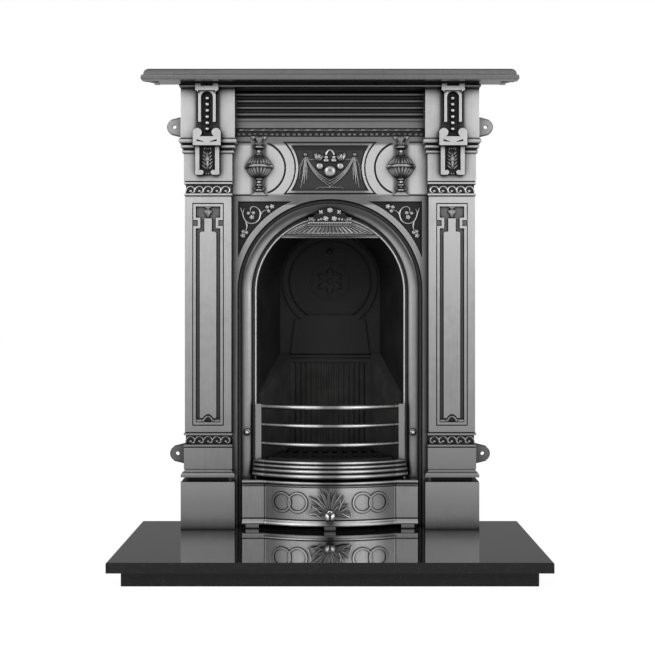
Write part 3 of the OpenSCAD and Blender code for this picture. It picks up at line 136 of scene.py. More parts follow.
class Nodes:
    """A tree that nodes are added to, of a material or of the world."""

    def __init__(self, tree):
        self.tree = tree

    def add(self, kind, settings=None, sockets=None, output=0):
        node = self.tree.nodes.new(kind)
        for name, value in (settings or {}).items():
            setattr(node, name, value)
        self.plug(node, sockets or {})
        return Socket(self, node.outputs[output])

    def plug(self, node, sockets):
        for name, value in sockets.items():
            if isinstance(value, Socket):
                self.tree.links.new(value.output, node.inputs[name])
            else:
                node.inputs[name].default_value = value

    def along(self, vector, axis):
        """The part of a vector along X, Y or Z."""
        return self.add("ShaderNodeSeparateXYZ", {}, {0: vector}, axis)

    def rays(self):
        """Whether a ray is the camera's, a mirror's, or one that has come through glass."""
        camera = self.add("ShaderNodeLightPath", output="Is Camera Ray")
        outputs = camera.output.node.outputs
        return camera, Socket(self, outputs["Is Glossy Ray"]), Socket(self, outputs["Is Transmission Ray"])


class Finish(Nodes):
    """A material built from nodes, ending in one Principled shader; its lengths are millimetres."""

    def __init__(self, name, **constants):
        self.material = bpy.data.materials.new(name)
        self.material.use_nodes = True
        super().__init__(self.material.node_tree)
        self.shader = self.tree.nodes["Principled BSDF"]
        self.into_shader(**constants)

    def into_shader(self, **sockets):
        """Sets or links the shader's sockets, which are named in small letters."""
        for name, value in sockets.items():
            self.plug(self.shader, {name.replace("_", " ").title().replace("Ior", "IOR"): value})
        return self.material

    def place(self):
        return self.add("ShaderNodeTexCoord", output="Object")

    def looking(self):
        """The way that a face points."""
        return self.add("ShaderNodeNewGeometry", output="Normal")

    def noise(self, place, scale, detail, stretch=(1, 1, 1)):
        stretched = self.add("ShaderNodeMapping", {}, {"Vector": place, "Scale": stretch})
        sockets = {"Vector": stretched, "Scale": scale, "Detail": detail}
        return self.add("ShaderNodeTexNoise", {}, sockets, "Fac")

    def mix(self, mask, first, second):
        settings = {"data_type": "RGBA", "clamp_factor": True}
        return self.add("ShaderNodeMix", settings, {0: mask, 6: first, 7: second}, 2)

    def recess(self, reach):
        """1 on open faces, falling towards 0 in hollows narrower than the reach."""
        return self.add("ShaderNodeAmbientOcclusion", {"samples": 8}, {"Distance": reach * MM}, "AO")

    def soft_edges(self, radius):
        return self.add("ShaderNodeBevel", {"samples": 6}, {"Radius": radius * MM})

    def bump(self, height, depth, normal):
        sockets = {"Height": height, "Distance": depth * MM, "Strength": 1.0, "Normal": normal}
        return self.add("ShaderNodeBump", {}, sockets)


def grey(level):
    return (level, level, level, 1.0)


# How black the sunk grounds stay, what is rubbed off again in a panel, and the tone of the castings' backs
SUNK_BLACK = 0.94
PANEL_RUB = 0.25
AS_CAST = 0.06

# In millimetres: the height above which no painted shade darkens the colour towards the floor, the ends of
# the plaque's bars and of the painted shade on the strip over the arch, and the rim of the painted shade
# round each urn
SHADE_FREE_Z = 750
PLAQUE_BARS = (70, 95)
STRIP_ENDS = (80, 175)
URN_SHADE = (11, 23)


def iron(
    name, dark, middle, bright, roughness=0.32, reach=10, bite=(0.35, 0.86),
    sunk=None, panel=None, fade=None, zone=None, arch=None, ends=None,
):
    """Cast iron, blacked in the hollows and rubbed bright on what stands proud; its back is left as cast.

    reach: how far round a face is searched for hollows
    bite: how open a face is where the blacking begins and ends
    sunk: two distances from the wall, between which front faces keep their blacking
    panel: two heights, between which some of that blacking is rubbed off again
    fade: the tone left at the floor by a painted shade that darkens the colour towards the floor
    zone: two heights, between which the frieze's bays are brightened, partly by polish and partly as painted
    highlight, and how bright; a painted shade lies round the urns, and the two bars of the plaque are left
    out of both
    arch: the radius inside which a painted highlight lies on the inner bead, the two radii between which a
    painted shade grows on the roll, and the height above which the middle of the plate gets a painted shade
    ends: a painted shade that stands in for the reflections: how far from the object's middle it darkens the
    middle, where it starts again, where it is full and where the bowed part ends, then how dark it gets and
    how dark the rest is
    """
    finish = Finish(name, metallic=1.0)
    place = finish.place()
    across, depth, height = (finish.along(place, axis) for axis in "XYZ")
    span = abs(across)
    looking = finish.looking()
    facing = finish.along(looking, "Y")
    clouds = finish.noise(place, 8, 4, (1, 1, 0.5))
    mottle = finish.noise(place, 60, 4)
    brushed = finish.noise(place, 240, 3, (1, 1, 0.05))
    sand = finish.noise(place, 900, 2)
    hollow = finish.recess(reach)
    open_face = hollow.over(0.55, 0.97)
    wide = finish.recess(reach * 4).over(0.5, 1.0)
    rub = open_face * 0.35 + wide * 0.45 + 0.15
    rubbed = (rub + (clouds - 0.5) * 0.8 + (mottle - 0.5) * 0.35 + (brushed - 0.5) * 0.35).clipped()
    painted_shade_tone, shade_tone = grey(dark * 2), grey(dark * 3)

    colour = finish.mix(rubbed, grey(middle), grey(bright))
    if zone:
        low, high, level = zone
        inside = height.within(low - 5, low + 3, high - 8, high)
        field = height.within(low + 6, low + 9, high - 17, high - 14)
        inside = inside * (1 - (1 - field) * (1 - span.over(*PLAQUE_BARS, MM)))
        # Painted shade round the urns; painted highlight, over the polish, on the bays.
        beside = abs(span - URN_X * MM).over(*URN_SHADE, MM)
        colour = finish.mix(inside * (1 - beside) * 0.8, colour, shade_tone)
        brighter = finish.mix(rubbed, grey(level * 0.7), grey(level))
        colour = finish.mix(inside * beside * open_face, colour, brighter)
    # A wide painted shade darkens the faces near hollows.
    colour = finish.mix(wide * 0.7 + 0.3, shade_tone, colour)
    if fade:
        # Painted shade: the colour darkens towards the floor.
        colour = finish.mix((height * (1 - fade) / (SHADE_FREE_Z * MM) + fade).clipped(), grey(dark), colour)
    if arch:
        # Painted shade on the roll and on the strip above it, and a painted highlight on the inner bead.
        lip, start, end, strip = arch
        above = (height - ARCH_Z * MM).maths("MAXIMUM", 0.0)
        radius = (across * across + above * above) ** 0.5
        shade = (radius + above * 0.07).over(start, end, MM) * (1 - radius.over(end, end + 1, MM))
        colour = finish.mix(shade * 0.85, colour, painted_shade_tone)
        colour = finish.mix(1 - radius.over(lip, lip + 2, MM), colour, grey(bright * 1.5))
        painted_shade = height.over(strip, strip + 3, MM) * (1 - span.over(*STRIP_ENDS, MM))
        colour = finish.mix(painted_shade * radius.over(end, end + 6, MM) * 0.6, colour, painted_shade_tone)
    if ends:
        # Painted shade in place of the reflections: darker in the middle and towards the ends.
        inner, near, far, edge, most, rest = ends
        painted_shade = (1 - span.over(inner * 0.3, inner, MM)) * 0.8 + span.over(near, far, MM)
        past = span.over(edge - 1, edge, MM)
        colour = finish.mix(painted_shade.clipped() * most * (1 - past) + past * rest, colour, painted_shade_tone)
    colour = finish.mix(facing.over(0.4, 0.8), colour, grey(AS_CAST))

    bare = hollow.over(*bite)
    if sunk:
        deep, shallow = (WALL_Y - proud for proud in sunk)
        blacked = depth.within(shallow - 0.4, shallow, deep, deep + 0.4) * (1 - facing.over(-0.9, -0.5))
        if panel:
            low, high = panel
            blacked = blacked * (1 - height.within(low, low + 2, high - 2, high) * PANEL_RUB)
        bare = bare * (1 - blacked * SUNK_BLACK)
    # Painted shade under things: faces that look down keep most of the blacking tone.
    under = finish.along(looking, "Z").over(-0.9, -0.3)
    colour = finish.mix(bare * (under * 0.75 + 0.25), grey(dark), colour)
    rough = roughness + (1 - rubbed) * 0.14 + (mottle - 0.5) * 0.08
    normal = finish.bump(sand, 0.1, finish.soft_edges(1.0))
    return finish.into_shader(base_color=colour, roughness=rough, normal=normal)


def black_iron(name, level):
    """Matt stove black over sand-cast iron, with a little soot-grey in patches."""
    finish = Finish(name, metallic=0.0, specular_ior_level=0.25)
    place = finish.place()
    sand = finish.noise(place, 420, 4)
    dust = finish.noise(place, 14, 4)
    colour = finish.mix(dust.over(0.35, 0.75), grey(level), grey(level * 1.9))
    normal = finish.bump(sand, 0.35, finish.soft_edges(0.8))
    return finish.into_shader(base_color=colour, roughness=0.62 + (dust - 0.5) * 0.2, normal=normal)


def granite(name, ground):
    """Polished black granite with fine grey crystals."""
    finish = Finish(name, specular_ior_level=0.2, coat_ior=2.2, coat_roughness=0.03)
    place = finish.place()
    polished = finish.along(finish.looking(), "Z").over(0.9, 0.98)
    grains = finish.add("ShaderNodeTexVoronoi", {"feature": "F1"}, {"Vector": place, "Scale": 900}, "Color")
    pick = finish.add("ShaderNodeSeparateColor", {}, {"Color": grains}, "Red")
    veil = finish.noise(place, 60, 4)
    flecks = pick.over(0.86, 0.99) * veil.over(0.35, 0.7)
    colour = finish.mix(flecks, (*ground, 1.0), grey(0.045))
    rough = 0.035 + veil * 0.03 + flecks * 0.05
    return finish.into_shader(base_color=colour, roughness=rough, coat_weight=polished)


def fire_brick(name):
    """Pressed brick, greyed by soot."""
    finish = Finish(name, specular_ior_level=0.3)
    place = finish.place()
    grain = finish.noise(place, 300, 5)
    soot = finish.noise(place, 20, 3)
    colour = finish.mix(soot.over(0.3, 0.8), (0.016, 0.016, 0.016, 1), (0.034, 0.033, 0.032, 1))
    normal = finish.bump(grain, 0.6, finish.soft_edges(1.0))
    return finish.into_shader(base_color=colour, roughness=0.85 + grain * 0.1, normal=normal)


def steel(name, level):
    """Turned steel under a thin film of dust."""
    finish = Finish(name, metallic=1.0)
    place = finish.place()
    lines = finish.noise(place, 500, 2, (0.1, 1, 1))
    film = finish.noise(place, 25, 3)
    colour = finish.mix(film.over(0.3, 0.8), grey(level * 0.6), grey(level))
    normal = finish.soft_edges(0.4)
    return finish.into_shader(base_color=colour, roughness=0.38 + lines * 0.12, normal=normal)


def painted_steel(name):
    """Black enamel, greyed by ash."""
    finish = Finish(name, specular_ior_level=0.5)
    place = finish.place()
    peel = finish.noise(place, 350, 2)
    ash = finish.noise(place, 30, 4)
    colour = finish.mix(ash.over(0.45, 0.8), grey(0.022), grey(0.045))
    normal = finish.bump(peel, 0.08, finish.soft_edges(0.6))
    return finish.into_shader(base_color=colour, roughness=0.42 + ash * 0.2, normal=normal)


# ---------------------------------------------------------------- modelling by hand


def deselect():
    bpy.ops.object.select_all(action="DESELECT")


def only(*objects):
    """Selects these objects and nothing else."""
    deselect()
    for thing in objects:
        thing.select_set(True)
    bpy.context.view_layer.objects.active = objects[0]


def settle(thing):
    """Moves an object's place, turn and scale into its mesh."""
    only(thing)
    bpy.ops.object.transform_apply(location=True, rotation=True, scale=True)
    return thing


def as_mesh(curve):
    """Turns a curve into a mesh and settles it."""
    only(curve)
    bpy.ops.object.convert(target="MESH")
    return settle(curve)


def outward(thing):
    """Turns all faces of a mesh outwards."""
    only(thing)
    bpy.ops.object.mode_set(mode="EDIT")
    bpy.ops.mesh.select_all(action="SELECT")
    bpy.ops.mesh.normals_make_consistent(inside=False)
    bpy.ops.object.mode_set(mode="OBJECT")
    return thing


def copied(thing):
    """A copy with its own mesh."""
    other = thing.copy()
    other.data = thing.data.copy()
    bpy.context.scene.collection.objects.link(other)
    return other


def reshape(thing, chosen, move=None, scale=None):
    """Moves the vertices whose place, in millimetres, passes a test, or scales them about the origin."""
    only(thing)
    bpy.ops.object.mode_set(mode="EDIT")
    bpy.ops.mesh.select_mode(type="VERT")
    bpy.ops.mesh.select_all(action="DESELECT")
    mesh = bmesh.from_edit_mesh(thing.data)
    for vertex in mesh.verts:
        vertex.select = bool(chosen(vertex.co / MM))
    mesh.select_flush_mode()
    bmesh.update_edit_mesh(thing.data)
    if move is not None:
        bpy.ops.transform.translate(value=[c * MM for c in move])
    if scale is not None:
        bpy.ops.transform.resize(value=scale, center_override=(0, 0, 0))
    bpy.ops.object.mode_set(mode="OBJECT")
    return thing


def new_curve(splines, flat):
    """Closed outlines of x and z or, where it isn't flat, rounded paths of x, z and radius."""
    deselect()
    bpy.ops.curve.primitive_nurbs_path_add()
    thing = bpy.context.object
    curve = thing.data
    curve.splines.clear()
    curve.dimensions = "2D" if flat else "3D"
    for points in splines:
        spline = curve.splines.new("POLY" if flat else "NURBS")
        spline.points.add(len(points) - 1)
        for point, place in zip(spline.points, points):
            point.co = (place[0] * MM, place[1] * MM, 0, 1)
            point.radius = 1.0 if flat else place[2]
        spline.use_cyclic_u = flat
        if not flat:
            spline.order_u = 3
            spline.use_endpoint_u = True
            spline.resolution_u = 4
    thing.rotation_euler = (math.radians(90), 0, 0)
    return thing


def plate(outlines, thick, edge):
    """A plate cut to closed outlines, with rounded edges; its back lies on y = 0 and it faces -y."""
    thing = new_curve(outlines, True)
    curve = thing.data
    curve.fill_mode = "BOTH"
    curve.bevel_depth = edge * MM
    curve.bevel_resolution = 2
    curve.offset = -edge * MM
    curve.extrude = (thick / 2 - edge) * MM
    thing.location.y = -thick / 2 * MM
    return as_mesh(thing)


def stem(points, radius, flatten=0.8):
    """A round stem through points of x, z and relative radius; its middle lies on y = 0."""
    thing = new_curve([points], False)
    thing.data.bevel_depth = radius * MM
    thing.data.bevel_resolution = 2
    thing.data.use_fill_caps = True
    as_mesh(thing).scale.y = flatten
    return settle(thing)


def lobe(length, width, height, vein, tip=0.5):
    """A leaf or petal from its root at the origin up along z, with a sunk vein in front."""
    deselect()
    bpy.ops.mesh.primitive_uv_sphere_add(segments=12, ring_count=8, radius=MM)
    thing = bpy.context.object
    thing.scale = (width / 2, height, length / 2)
    thing.location.z = length / 2 * MM
    settle(thing)
    reshape(thing, lambda q: q.z > length * 0.7, scale=(tip, 1, 1))
    return reshape(thing, lambda q: abs(q.x) < width * 0.05 and q.y < 0, move=(0, height * vein, 0))


def dome(radius, flatten=1.0, dent=0.0):
    """A berry or button; a dent sinks the middle of its face."""
    deselect()
    bpy.ops.mesh.primitive_uv_sphere_add(segments=20, ring_count=12, radius=radius * MM)
    thing = bpy.context.object
    thing.rotation_euler.x = math.radians(90)
    thing.scale.z = flatten
    settle(thing)
    face = radius * flatten
    return reshape(thing, lambda q: q.y < -face * 0.93, move=(0, radius * dent, 0))


def turned(profile, segments):
    """A turned piece about z from its profile of radius and height, extruded ring by ring."""
    radius, height = profile[0]
    deselect()
    bpy.ops.mesh.primitive_circle_add(
        vertices=segments, radius=radius * MM, fill_type="NGON", location=(0, 0, height * MM)
    )
    thing = settle(bpy.context.object)
    bpy.ops.object.mode_set(mode="EDIT")
    bpy.ops.mesh.select_all(action="SELECT")
    for next_radius, next_height in profile[1:]:
        step = {"value": (0, 0, (next_height - height) * MM)}
        bpy.ops.mesh.extrude_region_move(TRANSFORM_OT_translate=step)
        ratio = next_radius / radius
        bpy.ops.transform.resize(value=(ratio, ratio, 1), center_override=(0, 0, next_height * MM))
        radius, height = next_radius, next_height
    bpy.ops.object.mode_set(mode="OBJECT")
    return outward(thing)


def placed(thing, x, proud, z, turn=0, keep=False, wall=True):
    """Puts a thing, or with keep a copy of it, in its place from the wall or else from the origin."""
    if keep:
        thing = copied(thing)
    offset = at(x, proud, z) if wall else Vector((x, -proud, z)) * MM
    thing.matrix_world = Matrix.Translation(offset) @ Matrix.Rotation(math.radians(turn), 4, "Y")
    return settle(thing)


def mirrored(thing):
    """A mirror image across x = 0, as a copy."""
    other = copied(thing)
    other.scale.x = -1
    return outward(settle(other))


def joined(parts):
    """All parts as one object, the first."""
    only(*parts)
    if len(parts) > 1:
        bpy.ops.object.join()
    return bpy.context.object


def discard(*things):
    for thing in things:
        bpy.data.objects.remove(thing)


def cast(parts, name, finish, body="surround", replaces=(), smooth=35):
    """Joins parts to one finished piece that rides on a body."""
    piece = joined(parts)
    piece.name = name
    piece.data.name = name
    only(piece)
    bpy.ops.object.shade_smooth_by_angle(angle=math.radians(smooth))
    piece.data.materials.clear()
    piece.data.materials.append(FINISHES[finish])
    if replaces:
        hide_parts(*replaces)
    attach(piece, body)


def cast_pair(parts, name, finish, sides=("right", "left"), stands_for=None, smooth=35):
    """Joins parts to the piece of the first side, and casts its mirror image for the other."""
    piece = joined(parts)
    for thing, side in zip((piece, mirrored(piece)), sides):
        replaces = [f"{stands_for}_{side}"] if stands_for else ()
        cast([thing], f"{name}_{side}", finish, replaces=replaces, smooth=smooth)


def arc_points(x, z, radius, start, end, count):
    """Points of an arc, angles in degrees from +x towards +z."""
    steps = [math.radians(start + (end - start) * i / count) for i in range(count + 1)]
    return [(x + radius * math.cos(a), z + radius * math.sin(a)) for a in steps]


def both_halves(right_half):
    """A closed outline from its right half, given from the top middle down to the bottom middle."""
    return right_half + [(-x, z) for x, z in reversed(right_half) if abs(x) > 0.01]


# The finishes, once they are made
FINISHES = {}


# ---------------------------------------------------------------- wave bands


# Heights of the middles of the wave bands
WAVE_BANDS = {"upper": 781.8, "lower": 241.7}


def wave_scroll():
    """One running wave: a crest that rises from the left and curls back under to a bead."""
    crest = [
        (-10.8, -7.4, 0.7), (-11.2, -3.0, 0.9), (-8.4, 2.8, 1.0), (-4.8, 6.4, 1.1), (0.8, 7.2, 1.1),
        (5.8, 4.8, 1.1), (8.2, 0.2, 1.2), (7.4, -5.2, 1.2), (3.6, -7.4, 1.1), (0.0, -5.6, 1.1),
    ]
    curl = stem(crest, 1.4, 0.95)
    bead = placed(dome(3.1, 0.8), -0.4, 0, -3.4, wall=False)
    return joined([curl, bead])


def make_wave_bands(pitch):
    """Five waves to a band, running inwards on both jambs."""
    scroll = wave_scroll()
    for level, height in WAVE_BANDS.items():
        places = [(i - 2) * pitch - SHAFT_X + 0.6 for i in range(5)]
        waves = [placed(scroll, x, SHAFT_P - 2, height, keep=True) for x in places]
        cast_pair(waves, f"wave_band_{level}", "wave", sides=("left", "right"))
    discard(scroll)


# ---------------------------------------------------------------- corbels


def corbel_leaf():
    """Leaf of the drop panel: a spine with slanting blades, topped by two small volutes."""
    parts = [placed(lobe(46, 7, 3.4, 0.4), 0, 0, 820, wall=False)]
    for row in range(5):
        blade = lobe(17 - row * 0.8, 4.6, 2.6, 0.35)
        for side in (-1, 1):
            parts.append(placed(blade, side * 1.5, 0, 824 + row * 7.6, side * 44, keep=True, wall=False))
        discard(blade)
    for side in (-1, 1):
        parts.append(placed(dome(2.2), side * 2.7, 0, 815, wall=False))
        curl = [(0, 868, 0.8), (side * 4, 871.5, 1), (side * 8, 869, 1), (side * 6.5, 865.5, 0.7)]
        parts.append(stem(curl, 1.5))
    return placed(joined(parts), SHAFT_X, FILLET_P + 6.5, 0)


def make_corbels(bead_radius):
    """Flat beads down the slot and the leaf of the drop panel, over the castings of the frame."""
    bead = dome(bead_radius, 0.75)
    bead.scale = (1.0, 1.0, 0.7)
    settle(bead)
    beads = [placed(bead, SHAFT_X, BLOCK_P + 6.5, BED_Z - 22 - 13.3 * i, keep=True) for i in range(6)]
    discard(bead)
    cast_pair(beads + [corbel_leaf()], "corbel_trim", "relief")


# ---------------------------------------------------------------- frieze


def make_leaf_band():
    """Dashes over paired leaves, laid along the band under the reeds."""
    low, high = 901, 914.6
    half_length, pitch = 202, 24.2
    floor = PLATE_P - 1.2
    dash = placed(lobe(20, 4.6, 2.6, 0), -10, 0, 0, 90, wall=False)
    leaf = lobe(8.4, 5.2, 2.8, 0.5)
    count = int(half_length * 2 / pitch) + 1
    parts = []
    for i in range(count):
        x = (i - (count - 1) / 2) * pitch
        parts.append(placed(dash, x, floor, high, -4, keep=True))
        for shift, turn in ((-8, 38), (-3.2, -32), (3.2, 32), (8, -38)):
            parts.append(placed(leaf, x + shift, floor, low, turn * 0.6, keep=True))
    discard(dash, leaf)
    cast(parts, "leaf_band", "relief")


# Height of the urns' brims
URN_MIDDLE = 834


def gadrooned_urn():
    """The front half of a turned urn, both bowls fluted between the brim and their ends."""
    facets = 60
    foot = [
        (9, -53.4), (10.4, -52), (9.6, -49.6), (6.4, -47.6), (5, -45.6), (5, -43.4), (8.6, -41.6),
        (9.6, -39.6), (8.6, -37.6), (5.6, -35), (5.2, -31), (8.6, -28.6), (9.4, -26.8),
    ]
    bowl = [(8.6, 25), (13.4, 23), (18.2, 19.2), (22.2, 14.6), (25.2, 9.8), (27, 6), (27.8, 4.2)]
    brim = [(27, -3.2), (30.6, -2.4), (31.6, 0), (30.6, 2.4), (27, 3.2)]
    neck = [
        (9.4, 26.8), (8.6, 28.6), (5.2, 31), (4.8, 36), (6.4, 38), (12.5, 40.5), (13.6, 42.5), (12.8, 44.5),
        (6.5, 46.5), (5, 49), (6, 53), (10, 58), (12, 62), (5, 63.5),
    ]
    urn = turned(foot + [(r, -z) for r, z in bowl] + brim + bowl[::-1] + neck, facets)

    def groove(q):
        radius = math.hypot(q.x, q.y)
        step = round(math.degrees(math.atan2(q.y, q.x)) * facets / 360)
        return (step + 1) % 3 == 0 and 12 < radius < 27.2 and 5 < abs(q.z) < 23.4

    reshape(urn, groove, scale=(0.9, 0.9, 1))
    only(urn)
    bpy.ops.object.mode_set(mode="EDIT")
    bpy.ops.mesh.select_all(action="SELECT")
    bpy.ops.mesh.bisect(plane_co=(0, 0.5 * MM, 0), plane_no=(0, 1, 0), use_fill=True, clear_outer=True)
    bpy.ops.object.mode_set(mode="OBJECT")
    return outward(urn)


def urn_foliage():
    """A leaf that dips from the band to the urn's lip, small leaves at its neck and foot."""
    dip = [(0, 66), (18, 66), (13.5, 60.5), (8, 56), (3, 49.5), (0, 49)]
    parts = [placed(plate([both_halves(dip)], 4.0, 1.0), 0, -1, 0, wall=False)]
    leaf = lobe(11, 6, 3.2, 0.4)
    for turn, x, z in ((-70, -4, 43), (-25, -3, 45), (25, 3, 45), (70, 4, 43), (60, 5, -51), (-60, -5, -51)):
        parts.append(placed(leaf, x, 1.2, z, turn, keep=True, wall=False))
    discard(leaf)
    return joined(parts)


def make_urns():
    """Both urns, each on its little mound."""
    urn = placed(gadrooned_urn(), URN_X, PLATE_P, URN_MIDDLE)
    foliage = placed(urn_foliage(), URN_X, PLATE_P + 1, URN_MIDDLE)
    cast_pair([urn, foliage], "gadrooned_urn", "urn", stands_for="urn", smooth=30)
    hill = [(0, 781), (5, 780.6), (9, 778.6), (13, 775), (19, 773), (19, 771.6), (0, 771.6)]
    mound = plate([both_halves(hill)], 4.0, 1.0)
    for side, sign in SIDES.items():
        cast([placed(mound, sign * URN_X, PLATE_P - 1, 0, keep=True)], f"urn_mound_{side}", "relief")
    discard(mound)


def make_plaque():
    """Fruit and leaves under a stem's loop, and cloth that hangs round them from two knots."""
    floor = PLATE_P - 3
    knot_x = 54
    parts = []
    for x, z, r in ((0, 825, 14), (22.5, 836, 8.2), (-22.5, 836, 8.2)):
        parts.append(placed(dome(r, 0.64, 0.08), x, floor + 2, z))
    parts.append(placed(dome(2.6, 0.7, 0.3), 0, floor + 10.6, 826.5))
    loop = [
        (-9, 850, 0.7), (-9.5, 860, 0.9), (-5, 869, 1), (0, 872, 1), (5, 869, 1), (9.5, 860, 0.9),
        (9, 850, 0.7),
    ]
    parts.append(placed(stem(loop, 2.3, 0.9), 0, floor + 1.2, 0))
    for side in (-1, 1):
        for x, z, r in ((8.4, 855, 5.4), (6.4, 848.5, 4.6), (10.8, 848.5, 4.4)):
            parts.append(placed(dome(r, 0.9), side * x, floor + 1.6, z))
        for turn, length, width in ((24, 24, 10.5), (-6, 21, 9.5), (-38, 20, 9)):
            leaf = lobe(length, width, 6.4, 0.35, 0.6)
            parts.append(placed(leaf, side * 25, floor + 0.6, 846, side * turn))
        sprig = [(side * 31, 850, 0.7), (side * 37, 853, 0.8), (side * 44, 848, 0.8), (side * 51, 857, 0.5)]
        parts.append(placed(stem(sprig, 1.1), 0, floor + 0.6, 0))
    cast(parts, "plaque_fruit", "fruit", replaces=["fruit_swag"])
    folds = []
    for side in (-1, 1):
        folds.append(placed(dome(5.0, 0.8, 0.1), side * knot_x, floor + 1, 861.5))
        for sag, start, foot in ((0, -1, 800), (4.5, 1, 793.5), (-4.5, -3, 807)):
            strand = [
                (side * (knot_x + start), 857, 0.5), (side * 44, 838 - sag * 0.6, 1.0),
                (side * 30, 820 - sag, 1.15), (side * 15, 807 - sag * 0.9, 1.05), (-side * 2, foot - 3, 0.6),
            ]
            folds.append(placed(stem(strand, 1.5, 0.9), 0, floor + 1, 0))
        for x, foot, lean, thick in (
            (51, 806, 0, 1.1), (55, 797, 2, 1.4), (58, 788, 6, 1.3), (66, 806, 2, 0.9), (70, 812, 2, 0.8),
        ):
            tail = [
                (side * knot_x, 857, 0.5), (side * (x - 1), 836, 1.0), (side * x, 818, 1.2),
                (side * (x + lean), foot, 0.5),
            ]
            folds.append(placed(stem(tail, thick, 0.9), 0, floor + 0.8, 0))
        ribbon = [
            (0, 789.5, 0.9), (side * 9, 792, 1), (side * 15, 787.5, 0.8), (side * 23, 793, 0.9),
            (side * 30, 785, 0.5),
        ]
        folds.append(placed(stem(ribbon, 1.4, 0.8), 0, floor + 0.6, 0))
    for x in (-5, 0, 5):
        folds.append(placed(dome(1.9, 0.8), x, floor + 1, 789.5))
    cast(folds, "plaque_swag", "swag")


# ---------------------------------------------------------------- spandrels


def flower(petals, radius):
    """A small round flower facing -y."""
    parts = [dome(radius * 0.42, 0.9)]
    petal = lobe(radius, radius * 0.95, radius * 0.4, 0.2, 1.0)
    for i in range(petals):
        parts.append(placed(petal, 0, -0.2, 0, 360 / petals * i, keep=True, wall=False))
    discard(petal)
    return joined(parts)


def make_spandrels():
    """A vine with one coil and three flower heads in each corner over the arch."""
    floor = PLATE_P - 3
    main = [(195.7, 745.2, 0.4), (191.5, 735, 0.8), (189.3, 724, 1), (183.5, 714.5, 1), (172, 709.9, 0.9),
        (160, 713, 0.95), (153, 722, 1), (151.6, 733, 1.1), (155.5, 743, 0.9), (164, 748.2, 0.8),
        (171.5, 747.2, 0.7), (175, 741.5, 0.6), (173.6, 736.5, 0.5)]
    vine = [
        stem(main, 1.7),
        stem([(187.1, 743.1, 0.4), (189.5, 738, 0.6), (190.6, 733, 0.8)], 1.4),
        stem([(184.6, 716, 0.8), (181.6, 709, 1.2), (181.7, 701, 1.0), (183.8, 694.8, 0.6)], 1.7),
        stem([(151.8, 729, 0.9), (149, 735.5, 0.8), (143.5, 739.5, 0.6), (138, 741, 0.5)], 1.5),
    ]
    head = flower(5, 6.0)
    small = flower(5, 4.6)
    for x, z, which in (
        (137.2, 746.5, small), (126.5, 747.8, head), (133.8, 738, small), (189.6, 693.2, small),
        (190.2, 684.3, head), (182.6, 691, small), (178.2, 733.2, small), (167.3, 733.8, small),
        (170.6, 724.4, head),
    ):
        vine.append(placed(which, x, 0.6, z, 18, keep=True, wall=False))
    discard(head, small)
    cast_pair([placed(joined(vine), 0, floor + 0.8, 0)], "spandrel_vine", "relief")


# ---------------------------------------------------------------- hood


